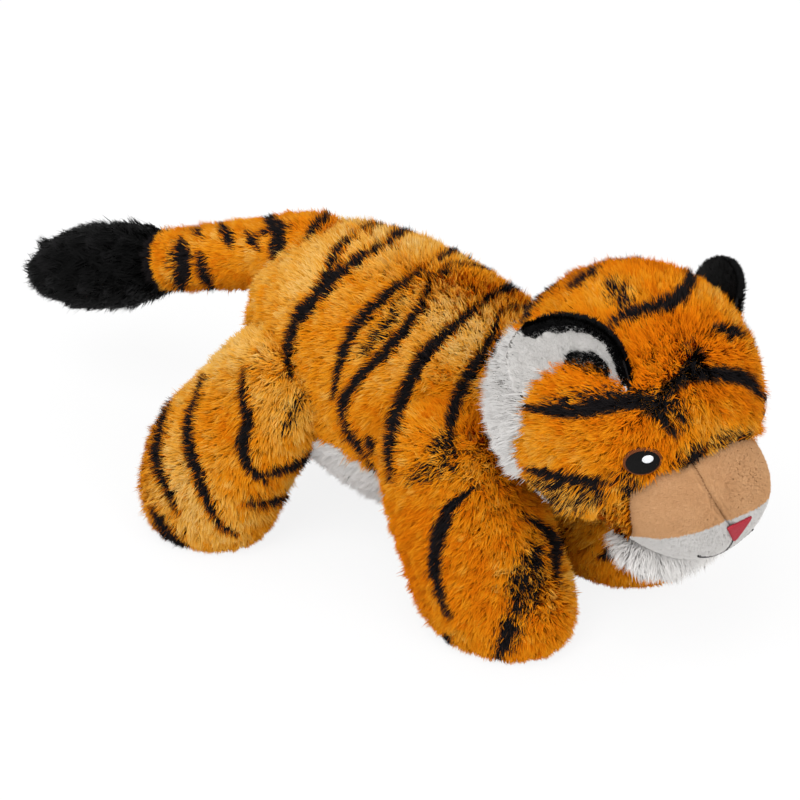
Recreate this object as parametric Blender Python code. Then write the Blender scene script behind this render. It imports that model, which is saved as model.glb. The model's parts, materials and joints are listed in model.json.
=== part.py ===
"""A stuffed tiger that stands on four short legs, with its head turned to its right.

Metres, +Z up, +X towards the nose, +Y to the tiger's left. The feet stand on z = 0, and the middle of
the whole length and of the stance lies at x = 0, y = 0. Each cover is a wall of pile fabric round its
own stuffing. A limb's stuffing ends in a ball that turns in a hollow of the body, and its cover is cut
back from the body over the whole of the limb's swing.
"""

import math

import bmesh
import bpy
import numpy as np
from mathutils import Matrix, Vector

for left_over in list(bpy.data.objects):
    bpy.data.objects.remove(left_over)

# Fabric and seams
fur_wall = 0.0065
short_wall = 0.0030
seam_gap = 0.0003
swing_gap = 0.0008
overrun = 0.150
sharp_angle = math.radians(50)
ball_sides = 16

# Body
torso_length = 0.190
torso_rear = -0.092
torso_half_width = 0.057
torso_half_height = 0.0655
torso_middle = 0.0905
belly_half_width = 0.042
belly_length = 0.150
torso_sides = 24
torso_rings = 12
torso_width_shares = (0.86, 0.98, 1.00, 1.00, 0.94, 0.84)
torso_height_shares = (0.96, 1.05, 1.07, 1.03, 0.94, 0.86)
torso_lift_shares = (0.18, 0.12, 0.03, -0.02, 0.00, 0.04)
torso_bluntness = 0.62

# Neck
neck_x = 0.078
neck_above_middle = 0.0235
neck_height = torso_middle + neck_above_middle
neck_radius = 0.027
nod_gap = 0.0014
head_turn_step = math.radians(8)
head_turn = math.radians(-14)
head_turn_limits = (math.radians(-6), math.radians(34))
head_nod_limits = (math.radians(-14), math.radians(5))

# Head, in its own frame: x forward, y to its left, z up from its middle
head_forward = 0.061
head_rise = 0.021
head_drop = math.radians(12)
head_half_length = 0.060
head_half_width = 0.0620
head_half_height = 0.062
head_sides = 24
head_rings = 12
head_bluntness = 0.86
cheek_share = 0.10
gusset_half_width = 0.026
gusset_taper = math.radians(9)
chin_depth = 0.036
ruff_setback = 0.016
ruff_top = 0.014

# Muzzle, in the head's frame
muzzle_forward = 0.033
muzzle_down = 0.022
muzzle_half_length = 0.046
muzzle_half_width = 0.040
muzzle_half_height = 0.034
muzzle_lip_rise = 0.007
muzzle_lip_tilt = math.radians(35)
muzzle_bluntness = 0.62
muzzle_sides = 18
muzzle_rings = 8
tuft_forward = 0.039
tuft_down = 0.053
tuft_half_length = 0.030
tuft_half_width = 0.034
tuft_half_height = 0.019
stitch_height = 0.0012
nose_width = 0.017
nose_height = 0.013
nose_down = 0.0035
mouth_drop = 0.007
mouth_half_width = 0.018
thread_width = 0.0016

# Eyes, in the head's frame
eye_bearing = math.radians(39)
eye_rise = math.radians(8.5)
eye_lean = math.radians(-14)
eye_rim_half_width = 0.0090
eye_rim_half_height = 0.0072
eye_pupil_half_width = 0.0076
eye_pupil_half_height = 0.0058
eye_highlight_half_width = 0.0026
eye_highlight_half_height = 0.0019
eye_highlight_shift = 0.0022
eye_sides = 14

# Ears, in the head's frame
ear_half_width = 0.030
ear_height = 0.035
ear_cup = 0.004
ear_back_wall = 0.0035
right_ear_forward = 0.005
left_ear_forward = -0.006
right_ear_out = 0.045
left_ear_out = 0.049
right_ear_up = 0.0265
left_ear_up = 0.013
right_ear_lean = math.radians(-4)
left_ear_lean = math.radians(14)
right_ear_facing = math.radians(64)
left_ear_facing = math.radians(54)
right_ear_roll = math.radians(28)
left_ear_roll = math.radians(48)
ear_columns = 11
ear_rows = 6
ear_span = math.radians(84)
ear_fullness = 0.55
lining_share = 0.88
ear_fold_limits = (math.radians(-15), math.radians(20))
ear_places = {"right": (right_ear_forward, right_ear_out, right_ear_up,
                        right_ear_lean, right_ear_facing, right_ear_roll),
              "left": (left_ear_forward, left_ear_out, left_ear_up,
                       left_ear_lean, left_ear_facing, left_ear_roll)}

# Legs
leg_sides = 16
sole_wall = 0.0025
sole_share = 0.62
front_swing_limits = (math.radians(-12), math.radians(15))
rear_swing_limits = (math.radians(-15), math.radians(15))
front_x = 0.056
front_out = 0.042
front_below_middle = 0.0125
front_height = torso_middle - front_below_middle
front_ball = 0.030
front_rise = 0.040
front_half_length = 0.045
front_half_width = 0.035
front_right_reach = 0.032
front_left_reach = 0.044
front_right_spread = 0.007
front_left_spread = -0.005
rear_x = -0.054
rear_out = 0.042
rear_below_middle = 0.0065
rear_height = torso_middle - rear_below_middle
rear_ball = 0.029
rear_rise = 0.036
rear_half_length = 0.045
rear_half_width = 0.034
rear_right_reach = -0.030
rear_left_reach = -0.034
rear_right_spread = 0.020
rear_left_spread = 0.010
# Each row: height, reach, half length and half width, as shares of the leg's own sizes
front_shares = ((0.00, 1.00, 0.72, 0.74), (0.03, 1.00, 0.86, 0.88), (0.09, 0.97, 0.95, 0.97),
                (0.20, 0.85, 1.00, 1.00), (0.36, 0.58, 1.00, 1.00), (0.52, 0.32, 1.00, 0.98),
                (0.68, 0.10, 0.95, 0.94), (0.82, -0.02, 0.82, 0.83), (0.93, -0.06, 0.56, 0.58))
rear_shares = ((0.00, 1.00, 0.64, 0.74), (0.03, 1.00, 0.75, 0.88), (0.09, 0.99, 0.83, 0.97),
               (0.20, 0.94, 0.90, 1.00), (0.36, 0.80, 0.97, 1.00), (0.52, 0.52, 0.98, 0.98),
               (0.68, 0.16, 0.90, 0.94), (0.82, -0.04, 0.75, 0.82), (0.93, -0.10, 0.50, 0.58))

# Tail
tail_x = -0.066
tail_above_middle = 0.0495
tail_height = torso_middle + tail_above_middle
tail_ball = 0.0175
tail_length = 0.104
tail_radius = 0.0185
tail_tip_length = 0.101
tail_tip_radius = 0.026
tail_slope = math.radians(-21)
tail_arch = 0.000
tail_sides = 12
sleeve_shares = (1.08, 1.04, 0.96, 0.92)
tip_shares = (0.66, 0.92, 1.0, 0.94, 0.66)
tip_ball = 0.012
tail_limits = (math.radians(-8), math.radians(25))
tip_limits = (math.radians(-25), math.radians(25))


def follow(shares, along):
    """Evenly spaced shares joined by a smooth Catmull-Rom curve, read at places from 0 to 1."""
    shares = np.asarray(shares, float)
    knots = np.concatenate([[2 * shares[0] - shares[1]], shares, [2 * shares[-1] - shares[-2]]])
    place = np.clip(along, 0, 1) * (len(shares) - 1)
    first = np.minimum(place.astype(int), len(shares) - 2)
    part = (place - first).reshape([-1] + [1] * (shares.ndim - 1))
    a, b, c, d = (knots[first + step] for step in range(4))
    return (2 * b + (c - a) * part + (2 * a - 5 * b + 4 * c - d) * part ** 2
            + (3 * b - a - 3 * c + d) * part ** 3) / 2


def rings_about(centres, across, upward, half_across, half_up, sides, full_below=0.0):
    """Oval rings, one to a centre; full_below widens the lower half of each, as cheeks do."""
    turn = np.arange(sides) * 2 * math.pi / sides
    wide = np.cos(turn) * (1 + full_below * np.clip(-np.sin(turn), 0, 1))
    side = half_across[:, None, None] * wide[None, :, None] * np.asarray(across, float)
    rise = half_up[:, None, None] * np.sin(turn)[None, :, None] * np.asarray(upward, float)
    return centres[:, None, :] + side + rise


def egg_rings(form, inset=0.0):
    """Rings of a form that swells along x, and its two poles. inset draws every side in."""
    turn = np.linspace(0, math.pi, form["rings"] + 2)[1:-1]
    along = (1 - np.cos(turn)) / 2
    swell = np.sin(turn) ** form["bluntness"]
    length = form["length"] - 2 * inset
    start = form["start"] + inset
    lift = form["half_height"] * follow(form["lifts"], along)
    centres = np.stack([start + length * along, np.zeros_like(along), form["middle"] + lift], 1)
    half_width = (form["half_width"] - inset) * swell * follow(form["widths"], along)
    half_height = (form["half_height"] - inset) * swell * follow(form["heights"], along)
    rings = rings_about(centres, (0, 1, 0), (0, 0, 1), half_width, half_height,
                        form["sides"], form["full_below"])
    ends = [(start, 0, centres[0, 2]), (start + length, 0, centres[-1, 2])]
    return rings, ends


def leg_rings(leg, inset=0.0, floor=0.0):
    """Level rings from a leg's sole up to its shoulder, about the joint; the last pole is its top."""
    share = np.array(leg["rows"])
    low = floor - leg["height"]
    high = leg["rise"] - inset
    centres = np.stack([leg["reach"] * share[:, 1], leg["spread"] * share[:, 1],
                        low + (high - low) * share[:, 0]], 1)
    rings = rings_about(centres, (1, 0, 0), (0, 1, 0), leg["half_length"] * share[:, 2] - inset,
                        leg["half_width"] * share[:, 3] - inset, leg_sides)
    return rings, [None, (centres[-1, 0], centres[-1, 1], high)]


def tube_rings(path, radii, sides):
    """Rings square to a path that lies in the plane y = 0."""
    slope = np.gradient(path, axis=0)
    slope /= np.linalg.norm(slope, axis=1)[:, None]
    upward = np.cross(slope, (0, 1, 0))
    turn = np.arange(sides) * 2 * math.pi / sides
    ring = (np.cos(turn)[None, :, None] * np.array((0, 1.0, 0))
            + np.sin(turn)[None, :, None] * upward[:, None, :])
    return path[:, None, :] + radii[:, None, None] * ring


def closed_mesh(name, rings, ends):
    """Quads between rings; an end closes in a fan to its pole, or flat where it has none."""
    count, sides = rings.shape[:2]
    points = [tuple(point) for point in rings.reshape(-1, 3)]
    faces = [(ring * sides + step, ring * sides + (step + 1) % sides,
              (ring + 1) * sides + (step + 1) % sides, (ring + 1) * sides + step)
             for ring in range(count - 1) for step in range(sides)]
    for first, pole in zip((0, (count - 1) * sides), ends):
        if pole is None:
            faces.append(tuple(first + step for step in range(sides)))
            continue
        points.append(tuple(pole))
        faces += [(first + step, first + (step + 1) % sides, len(points) - 1)
                  for step in range(sides)]
    return outward(name, points, faces)


def outward(name, points, faces):
    """A mesh from points and faces, with all its faces turned outwards and shaded smooth."""
    mesh = bpy.data.meshes.new(name)
    mesh.from_pydata(points, [], faces)
    edit = bmesh.new()
    edit.from_mesh(mesh)
    bmesh.ops.recalc_face_normals(edit, faces=edit.faces)
    edit.to_mesh(mesh)
    edit.free()
    mesh.shade_smooth()
    mesh.set_sharp_from_angle(angle=sharp_angle)
    return mesh


def slab_mesh(name, grid, wall):
    """A sheet of even thickness on a grid of points; the wall stands on the side it faces."""
    rows, columns = grid.shape[:2]
    facing = np.cross(np.gradient(grid, axis=1), np.gradient(grid, axis=0))
    facing /= np.linalg.norm(facing, axis=2)[:, :, None]
    points = np.concatenate([grid.reshape(-1, 3), (grid + wall * facing).reshape(-1, 3)])
    index = np.arange(rows * columns).reshape(rows, columns)
    faces = []
    for shift in (0, rows * columns):
        quads = np.stack([index[:-1, :-1], index[:-1, 1:], index[1:, 1:], index[1:, :-1]], 2)
        faces += [tuple(int(i) for i in quad) for quad in (quads + shift).reshape(-1, 4)]
    rim = np.concatenate([index[0, :-1], index[:-1, -1], index[-1, :0:-1], index[:0:-1, 0]])
    for start, end in zip(rim, np.roll(rim, -1)):
        faces.append((int(start), int(end), int(end) + rows * columns, int(start) + rows * columns))
    return outward(name, [tuple(point) for point in points], faces)


def prism_mesh(name, outline, low, high):
    """An outline in the plane of y and z, drawn out along x from low to high."""
    outline = np.asarray(outline, float)
    rings = np.stack([np.column_stack([np.full(len(outline), x), outline]) for x in (low, high)])
    return closed_mesh(name, rings, [None, None])


def level_prism(name, outline, low, high):
    """An outline in the plane of x and y, drawn up from low to high."""
    outline = np.asarray(outline, float)
    rings = np.stack([np.column_stack([outline, np.full(len(outline), z)]) for z in (low, high)])
    return closed_mesh(name, rings, [None, None])


def oval(half_width, half_height, sides=24):
    """Points of an oval about the origin."""
    turn = np.arange(sides) * 2 * math.pi / sides
    return np.column_stack([half_width * np.cos(turn), half_height * np.sin(turn)])


def ball_mesh(name, radius, axis=(0, 0, 1)):
    """A ball whose poles lie on an axis."""
    edit = bmesh.new()
    bmesh.ops.create_uvsphere(edit, u_segments=ball_sides, v_segments=ball_sides // 2, radius=radius)
    edit.transform(Vector((0, 0, 1)).rotation_difference(Vector(axis)).to_matrix().to_4x4())
    mesh = bpy.data.meshes.new(name)
    edit.to_mesh(mesh)
    edit.free()
    mesh.shade_smooth()
    return mesh


def box_mesh(name, low, high):
    """A block between two corners."""
    edit = bmesh.new()
    bmesh.ops.create_cube(edit, size=1)
    low, high = Vector(low), Vector(high)
    size = high - low
    edit.transform(Matrix.Translation((low + high) / 2) @ Matrix.Diagonal((*size, 1)))
    mesh = bpy.data.meshes.new(name)
    edit.to_mesh(mesh)
    edit.free()
    return mesh


def material(name, colour, roughness):
    """A plain coloured finish."""
    made = bpy.data.materials.new(name)
    made.use_nodes = True
    shader = made.node_tree.nodes["Principled BSDF"]
    shader.inputs["Base Color"].default_value = (*colour, 1)
    shader.inputs["Roughness"].default_value = roughness
    shader.inputs["Metallic"].default_value = 0
    return made


def empty(name, parent=None, matrix=None):
    """A joint's or a form's own frame."""
    made = bpy.data.objects.new(name, None)
    made.parent = parent
    made.matrix_basis = matrix or Matrix.Identity(4)
    bpy.context.scene.collection.objects.link(made)
    return made


def piece(name, mesh, parent, finish, matrix=None):
    """One sub-part of the toy."""
    made = bpy.data.objects.new(name, mesh)
    made.parent = parent
    made.matrix_basis = matrix or Matrix.Identity(4)
    if not mesh.materials:
        mesh.materials.append(finish)
    bpy.context.scene.collection.objects.link(made)
    return made


def guide(name, mesh, parent, matrix=None):
    """A form that only cuts others: drawn as wire and left out of the toy."""
    made = piece(name, mesh, parent, finishes["guide"], matrix)
    made.display_type = "WIRE"
    made.hide_render = True
    return made


def shape(obj, how, others):
    """Adds a live Boolean to a piece for each of the others."""
    for other in others:
        modifier = obj.modifiers.new(f"{how} {other.name}", "BOOLEAN")
        modifier.operation = how
        modifier.solver = "MANIFOLD"
        modifier.object = other
    return obj


def cut(obj, *others):
    return shape(obj, "DIFFERENCE", others)


def within(obj, *others):
    return shape(obj, "INTERSECT", others)


def joined(obj, *others):
    return shape(obj, "UNION", others)


def steps(limits, count):
    """Evenly spaced angles over a joint's range."""
    return [limits[0] + (limits[1] - limits[0]) * step / (count - 1) for step in range(count)]


def egg(length, half_width, half_height, bluntness, rings, sides, start=None, middle=0.0,
        widths=(1, 1), heights=(1, 1), lifts=(0, 0), full_below=0.0):
    """The sizes of a form that swells along x, in one place."""
    return {"length": length, "half_width": half_width, "half_height": half_height,
            "bluntness": bluntness, "rings": rings, "sides": sides,
            "start": -length / 2 if start is None else start, "middle": middle,
            "widths": widths, "heights": heights, "lifts": lifts, "full_below": full_below}


torso_form = egg(torso_length, torso_half_width, torso_half_height, torso_bluntness, torso_rings,
                 torso_sides, torso_rear, torso_middle, torso_width_shares, torso_height_shares,
                 torso_lift_shares)
head_form = egg(2 * head_half_length, head_half_width, head_half_height, head_bluntness, head_rings,
                head_sides, full_below=cheek_share)
muzzle_form = egg(2 * muzzle_half_length, muzzle_half_width, muzzle_half_height, muzzle_bluntness,
                  muzzle_rings, muzzle_sides, muzzle_forward - muzzle_half_length, -muzzle_down)

tuft_form = egg(2 * tuft_half_length, tuft_half_width, tuft_half_height, muzzle_bluntness,
                muzzle_rings, muzzle_sides, tuft_forward - tuft_half_length, -tuft_down)

neck_place = Matrix.Translation((neck_x, 0, neck_height)) @ Matrix.Rotation(head_turn, 4, "Z")
head_in_neck = Matrix.Translation((head_forward, 0, head_rise)) @ Matrix.Rotation(head_drop, 4, "Y")
tail_place = Matrix.Translation((tail_x, 0, tail_height))


def tail_path(along):
    """Points of the tail's middle line, about its joint, at lengths from that joint."""
    arch = tail_arch * np.sin(math.pi * along / (tail_length + tail_tip_length))
    return np.stack([-along * math.cos(tail_slope), np.zeros_like(along),
                     along * math.sin(tail_slope) + arch], 1)


def sleeve_rings(inset=0.0):
    """The tail's orange part, from its joint to the tip's joint."""
    along = np.linspace(0, tail_length, 9)
    radii = tail_radius * follow(sleeve_shares, along / tail_length) - inset
    return tube_rings(tail_path(along), radii, tail_sides)


def tip_rings(inset=0.0):
    """The black tip: it swells from the sleeve's end and closes round, with the pole that ends it."""
    part = np.sin(np.linspace(0, math.pi / 2, 9)[:-1])
    along = tail_length + part * (tail_tip_length - inset)
    swell = follow(tip_shares, part) * np.sqrt(1 - part ** 4)
    end = tail_path(np.array([tail_length + tail_tip_length - inset]))[0]
    return tube_rings(tail_path(along), (tail_tip_radius - inset) * swell, tail_sides), end


def forward_reach():
    """How far the muzzle's end lies in front of the body's frame."""
    points = egg_rings(muzzle_form)[0].reshape(-1, 3)
    place = np.array(neck_place @ head_in_neck)
    return float((points @ place[:3, :3].T + place[:3, 3])[:, 0].max())


def backward_reach():
    """How far the tail's end lies behind the body's frame."""
    return tail_x + float(tip_rings()[1][0])


finishes = {
    "guide": material("guide", (0.5, 0.5, 0.5), 0.9),
    "orange_fur": material("orange_fur", (0.76, 0.27, 0.03), 0.9),
    "white_fur": material("white_fur", (0.80, 0.80, 0.79), 0.9),
    "black_fur": material("black_fur", (0.02, 0.02, 0.02), 0.9),
    "tan_plush": material("tan_plush", (0.68, 0.36, 0.17), 0.85),
    "white_plush": material("white_plush", (0.80, 0.79, 0.78), 0.85),
    "black_plush": material("black_plush", (0.015, 0.015, 0.016), 0.85),
    "stuffing": material("stuffing", (0.86, 0.86, 0.84), 0.95),
    "brown_thread": material("brown_thread", (0.11, 0.035, 0.015), 0.6),
    "black_thread": material("black_thread", (0.012, 0.012, 0.014), 0.55),
    "white_thread": material("white_thread", (0.85, 0.85, 0.85), 0.55),
    "rose_thread": material("rose_thread", (0.50, 0.035, 0.055), 0.6),
}

body = empty("tiger", matrix=Matrix.Translation((-(forward_reach() + backward_reach()) / 2,
                                                 (rear_right_spread - rear_left_spread) / 2, 0)))
neck = empty("neck_joint", body, neck_place)
head = empty("head_frame", neck, head_in_neck)
tail = empty("tail_joint", body, tail_place)


def egg_guide(name, form, inset, parent, matrix=None):
    return guide(name, closed_mesh(name, *egg_rings(form, inset)), parent, matrix)


def hollow(name, radius, parent, matrix=None, axis=(0, 1, 0)):
    """The round recess that a limb's ball turns in."""
    return guide(f"{name}_hollow", ball_mesh(name, radius + swing_gap, axis), parent, matrix)


sides = (("right", -1), ("left", 1))


def leg_sizes(side, x, out, height, ball, rise, half_length, half_width, reach, spread, limits, rows):
    """The sizes of one leg, in one place."""
    return {"side": side, "place": Matrix.Translation((x, side * out, height)), "height": height,
            "ball": ball, "rise": rise, "half_length": half_length, "half_width": half_width,
            "reach": reach, "spread": side * spread, "limits": limits, "rows": rows}


front_sizes = (front_x, front_out, front_height, front_ball, front_rise, front_half_length,
               front_half_width)
rear_sizes = (rear_x, rear_out, rear_height, rear_ball, rear_rise, rear_half_length, rear_half_width)
legs = {
    "front_right": leg_sizes(-1, *front_sizes, front_right_reach, front_right_spread,
                             front_swing_limits, front_shares),
    "front_left": leg_sizes(1, *front_sizes, front_left_reach, front_left_spread,
                            front_swing_limits, front_shares),
    "rear_right": leg_sizes(-1, *rear_sizes, rear_right_reach, rear_right_spread,
                            rear_swing_limits, rear_shares),
    "rear_left": leg_sizes(1, *rear_sizes, rear_left_reach, rear_left_spread,
                           rear_swing_limits, rear_shares),
}


def build_body():
    """Two flank panels, the belly panel and the stuffing, hollowed where the limbs turn."""
    hollows = [hollow(name, leg["ball"], body, leg["place"]) for name, leg in legs.items()]
    hollows.append(hollow("neck", neck_radius, neck, axis=(0, 0, 1)))
    hollows.append(hollow("tail", tail_ball, tail))
    shell = egg_guide("torso_shell", torso_form, 0, body)
    cut(shell, egg_guide("torso_inside", torso_form, fur_wall, body), *hollows)

    def belly_region(name, grown):
        outline = oval(belly_length / 2 + grown, belly_half_width + grown, torso_sides)
        return level_prism(name, outline, -overrun, torso_middle)

    belly_cut = guide("belly_cut", belly_region("belly_cut", seam_gap), body)
    for word, side in sides:
        panel = piece(f"flank_panel_{word}", half_block(side), body, finishes["orange_fur"])
        cut(within(panel, shell), belly_cut)
    within(piece("belly_panel", belly_region("belly_panel", 0), body, finishes["white_fur"]), shell)
    mesh = closed_mesh("torso_stuffing", *egg_rings(torso_form, fur_wall + seam_gap))
    cut(piece("torso_stuffing", mesh, body, finishes["stuffing"]), *hollows)


def half_block(side):
    """All that lies to one side of a seam on the middle plane."""
    low, high = sorted((side * seam_gap / 2, side * 2 * overrun))
    return box_mesh("half", (-2 * overrun, low, -2 * overrun), (2 * overrun, high, 2 * overrun))


def balls(name, radius, joint, axis):
    """The ball a limb's stuffing turns on, and the room its cover leaves for it."""
    return [guide(f"{name}_{word}", ball_mesh(name, radius + grown, axis), joint)
            for word, grown in (("ball", 0), ("ball_room", seam_gap))]


def heads_over(name, joint, leg):
    """The head and its chin, nodded right down over a front leg, at places along the leg's swing."""
    guides = []
    turned = head_turn_limits[0] if leg["side"] < 0 else head_turn_limits[1]
    for turn in (turned, turned - leg["side"] * head_turn_step):
        for swing in steps(leg["limits"], 3):
            place = (Matrix.Rotation(-swing, 4, "Y") @ joint.matrix_basis.inverted() @ neck_place
                     @ Matrix.Rotation(turn, 4, "Z") @ Matrix.Rotation(head_nod_limits[1], 4, "Y")
                     @ head_in_neck)
            for form in (head_form, tuft_form):
                guides.append(egg_guide(f"{name}_head_{len(guides)}", form, -swing_gap, joint, place))
    return guides


def build_legs():
    """Each leg: a fur cover, its stuffing with the ball it turns on, and a sole."""
    for name, leg in legs.items():
        joint = empty(f"{name}_joint", body, leg["place"])
        torso = closed_mesh(f"{name}_torso", *egg_rings(torso_form, -swing_gap))
        torso.transform(leg["place"].inverted())
        swings = [guide(f"{name}_torso_{step}", torso, joint, Matrix.Rotation(-angle, 4, "Y"))
                  for step, angle in enumerate(steps(leg["limits"], 3))]
        if name.startswith("front"):
            swings += heads_over(name, joint, leg)
        foot = (leg["reach"], leg["spread"])
        sole = oval(sole_share * leg["half_length"], sole_share * leg["half_width"], leg_sides) + foot
        opening = oval(sole_share * leg["half_length"] + seam_gap,
                       sole_share * leg["half_width"] + seam_gap, leg_sides) + foot
        low = -leg["height"]
        inside = guide(f"{name}_inside", closed_mesh(name, *leg_rings(leg, fur_wall, sole_wall)), joint)
        ball, ball_room = balls(name, leg["ball"], joint, (0, 1, 0))
        sole_room = guide(f"{name}_sole_room",
                          level_prism(name, opening, low - overrun, low + 2 * sole_wall), joint)
        cover = piece(f"{name}_leg_cover", closed_mesh(name, *leg_rings(leg)), joint,
                      finishes["orange_fur"])
        cut(cover, *swings, inside, ball_room, sole_room)
        core = closed_mesh(name, *leg_rings(leg, fur_wall + seam_gap, sole_wall + seam_gap))
        joined(cut(piece(f"{name}_leg_stuffing", core, joint, finishes["stuffing"]), *swings), ball)
        piece(f"{name}_paw_sole", level_prism(name, sole, low, low + sole_wall), joint,
              finishes["tan_plush"])


def build_tail():
    """The striped sleeve and the black tip, each a cover round stuffing that ends in a ball."""
    torso = closed_mesh("tail_torso", *egg_rings(torso_form, -swing_gap))
    torso.transform(tail_place.inverted())
    swings = [guide(f"tail_torso_{step}", torso, tail, Matrix.Rotation(-angle, 4, "Y"))
              for step, angle in enumerate(steps(tail_limits, 3))]
    ball, ball_room = balls("tail", tail_ball, tail, (0, 1, 0))
    tip = empty("tip_joint", tail, Matrix.Translation(tuple(tail_path(np.array([tail_length]))[0])))
    to_tip = tip.matrix_basis.inverted()
    tip_hollow = hollow("tip", tip_ball, tip, axis=(0, 0, 1))
    sleeve = closed_mesh("tail_sleeve", sleeve_rings(), [None, None])
    sleeve_inside = sleeve_rings(fur_wall)
    for end, near in ((0, 1), (-1, -2)):
        sleeve_inside[end] += sleeve_inside[end] - sleeve_inside[near]
    inside = guide("tail_inside", closed_mesh("tail_inside", sleeve_inside, [None, None]), tail)
    sleeve = cut(piece("tail_sleeve", sleeve, tail, finishes["orange_fur"]), *swings)
    cut(sleeve, inside, ball_room, tip_hollow)
    core = closed_mesh("tail_stuffing", sleeve_rings(fur_wall + seam_gap), [None, None])
    core = piece("tail_stuffing", core, tail, finishes["stuffing"])
    cut(joined(cut(core, *swings), ball), tip_hollow)
    swing = closed_mesh("tip_sleeve", sleeve_rings(-swing_gap), [None, None])
    swing.transform(to_tip)
    tip_swings = [guide(f"tip_sleeve_{step}", swing, tip,
                        Matrix.Translation((-swing_gap, 0, 0)) @ Matrix.Rotation(-angle, 4, "Z"))
                  for step, angle in enumerate(steps(tip_limits, 3))]
    tip_ball_guide = guide("tip_ball", ball_mesh("tip", tip_ball), tip)
    tip_room = guide("tip_ball_room", ball_mesh("tip", tip_ball + seam_gap), tip)

    def tip_form(name, inset):
        rings, end = tip_rings(inset)
        mesh = closed_mesh(name, rings, [None, end])
        mesh.transform(to_tip)
        return mesh

    tip_inside = guide("tip_inside", tip_form("tip_inside", fur_wall), tip)
    cover = piece("tail_tip_cover", tip_form("tail_tip_cover", 0), tip, finishes["black_fur"])
    cut(cover, tip_inside, *tip_swings, tip_room)
    core = piece("tail_tip_stuffing", tip_form("tail_tip_stuffing", fur_wall + seam_gap), tip,
                 finishes["stuffing"])
    joined(cut(core, *tip_swings), tip_ball_guide)


def taper_block(name, grown):
    """The region of the crown gusset: a wedge that narrows towards the nose."""
    rings = []
    for x in (-overrun, overrun):
        half = gusset_half_width - x * math.tan(gusset_taper) + grown
        rings.append([(x, -half, -grown), (x, half, -grown), (x, half, overrun), (x, -half, overrun)])
    return closed_mesh(name, np.array(rings), [None, None])


def build_head():
    """The head's sewn panels, the muzzle, the embroidery and the stuffing."""
    piece("neck_stuffing", ball_mesh("neck_stuffing", neck_radius), neck, finishes["stuffing"])
    neck_hollow = hollow("neck_in_head", neck_radius + nod_gap - swing_gap, neck)
    torso = closed_mesh("head_torso", *egg_rings(torso_form, -swing_gap))
    torso.transform(neck_place.inverted())
    swings = []
    for nod in (head_nod_limits[0], 0, head_nod_limits[1]):
        for turn in (head_turn_limits[0], 0, head_turn_limits[1] / 2, head_turn_limits[1]):
            place = Matrix.Rotation(-nod, 4, "Y") @ Matrix.Rotation(-turn, 4, "Z")
            swings.append(guide(f"head_torso_{len(swings)}", torso, neck, place))
    muzzle_clear = egg_guide("muzzle_clear", muzzle_form, -seam_gap, head)
    head_clear = egg_guide("head_clear", head_form, -seam_gap, head)
    shell = egg_guide("head_shell", head_form, 0, head)
    cut(shell, egg_guide("head_inside", head_form, fur_wall, head), muzzle_clear, neck_hollow, *swings)

    gusset_cut = guide("gusset_cut", taper_block("gusset_cut", seam_gap), head)
    chin = [box_mesh("chin", (-overrun, -overrun, -overrun), (overrun, overrun, grown - chin_depth))
            for grown in (0, seam_gap)]
    ruff = [box_mesh("ruff", (-overrun, -overrun, -overrun),
                     (grown - ruff_setback, overrun, ruff_top + grown)) for grown in (0, seam_gap)]
    chin_cut = guide("chin_cut", chin[1], head)
    ruff_cut = guide("ruff_cut", ruff[1], head)
    within(piece("crown_gusset", taper_block("crown_gusset", 0), head, finishes["orange_fur"]), shell)
    within(piece("chin_panel", chin[0], head, finishes["white_fur"]), shell)
    for word, side in sides:
        face = piece(f"face_panel_{word}", half_block(side), head, finishes["orange_fur"])
        cut(within(face, shell), gusset_cut, chin_cut, ruff_cut)
        half = guide(f"head_half_{word}", half_block(side), head)
        band = piece(f"ruff_{word}", ruff[0].copy(), head, finishes["white_fur"])
        cut(within(band, half, shell), gusset_cut, chin_cut)
    core = closed_mesh("head_stuffing", *egg_rings(head_form, fur_wall + seam_gap))
    muzzle_core = egg_guide("muzzle_core", muzzle_form, short_wall + seam_gap, head)
    core = piece("head_stuffing", core, head, finishes["stuffing"])
    cut(joined(core, muzzle_core), neck_hollow, *swings)
    tuft = piece("chin_tuft", closed_mesh("chin_tuft", *egg_rings(tuft_form)), head,
                 finishes["white_fur"])
    cut(tuft, egg_guide("stitch_clear", muzzle_form, -stitch_height - seam_gap, head), head_clear)
    build_muzzle(head_clear)
    build_eyes(head_clear)
    build_ears()


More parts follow.
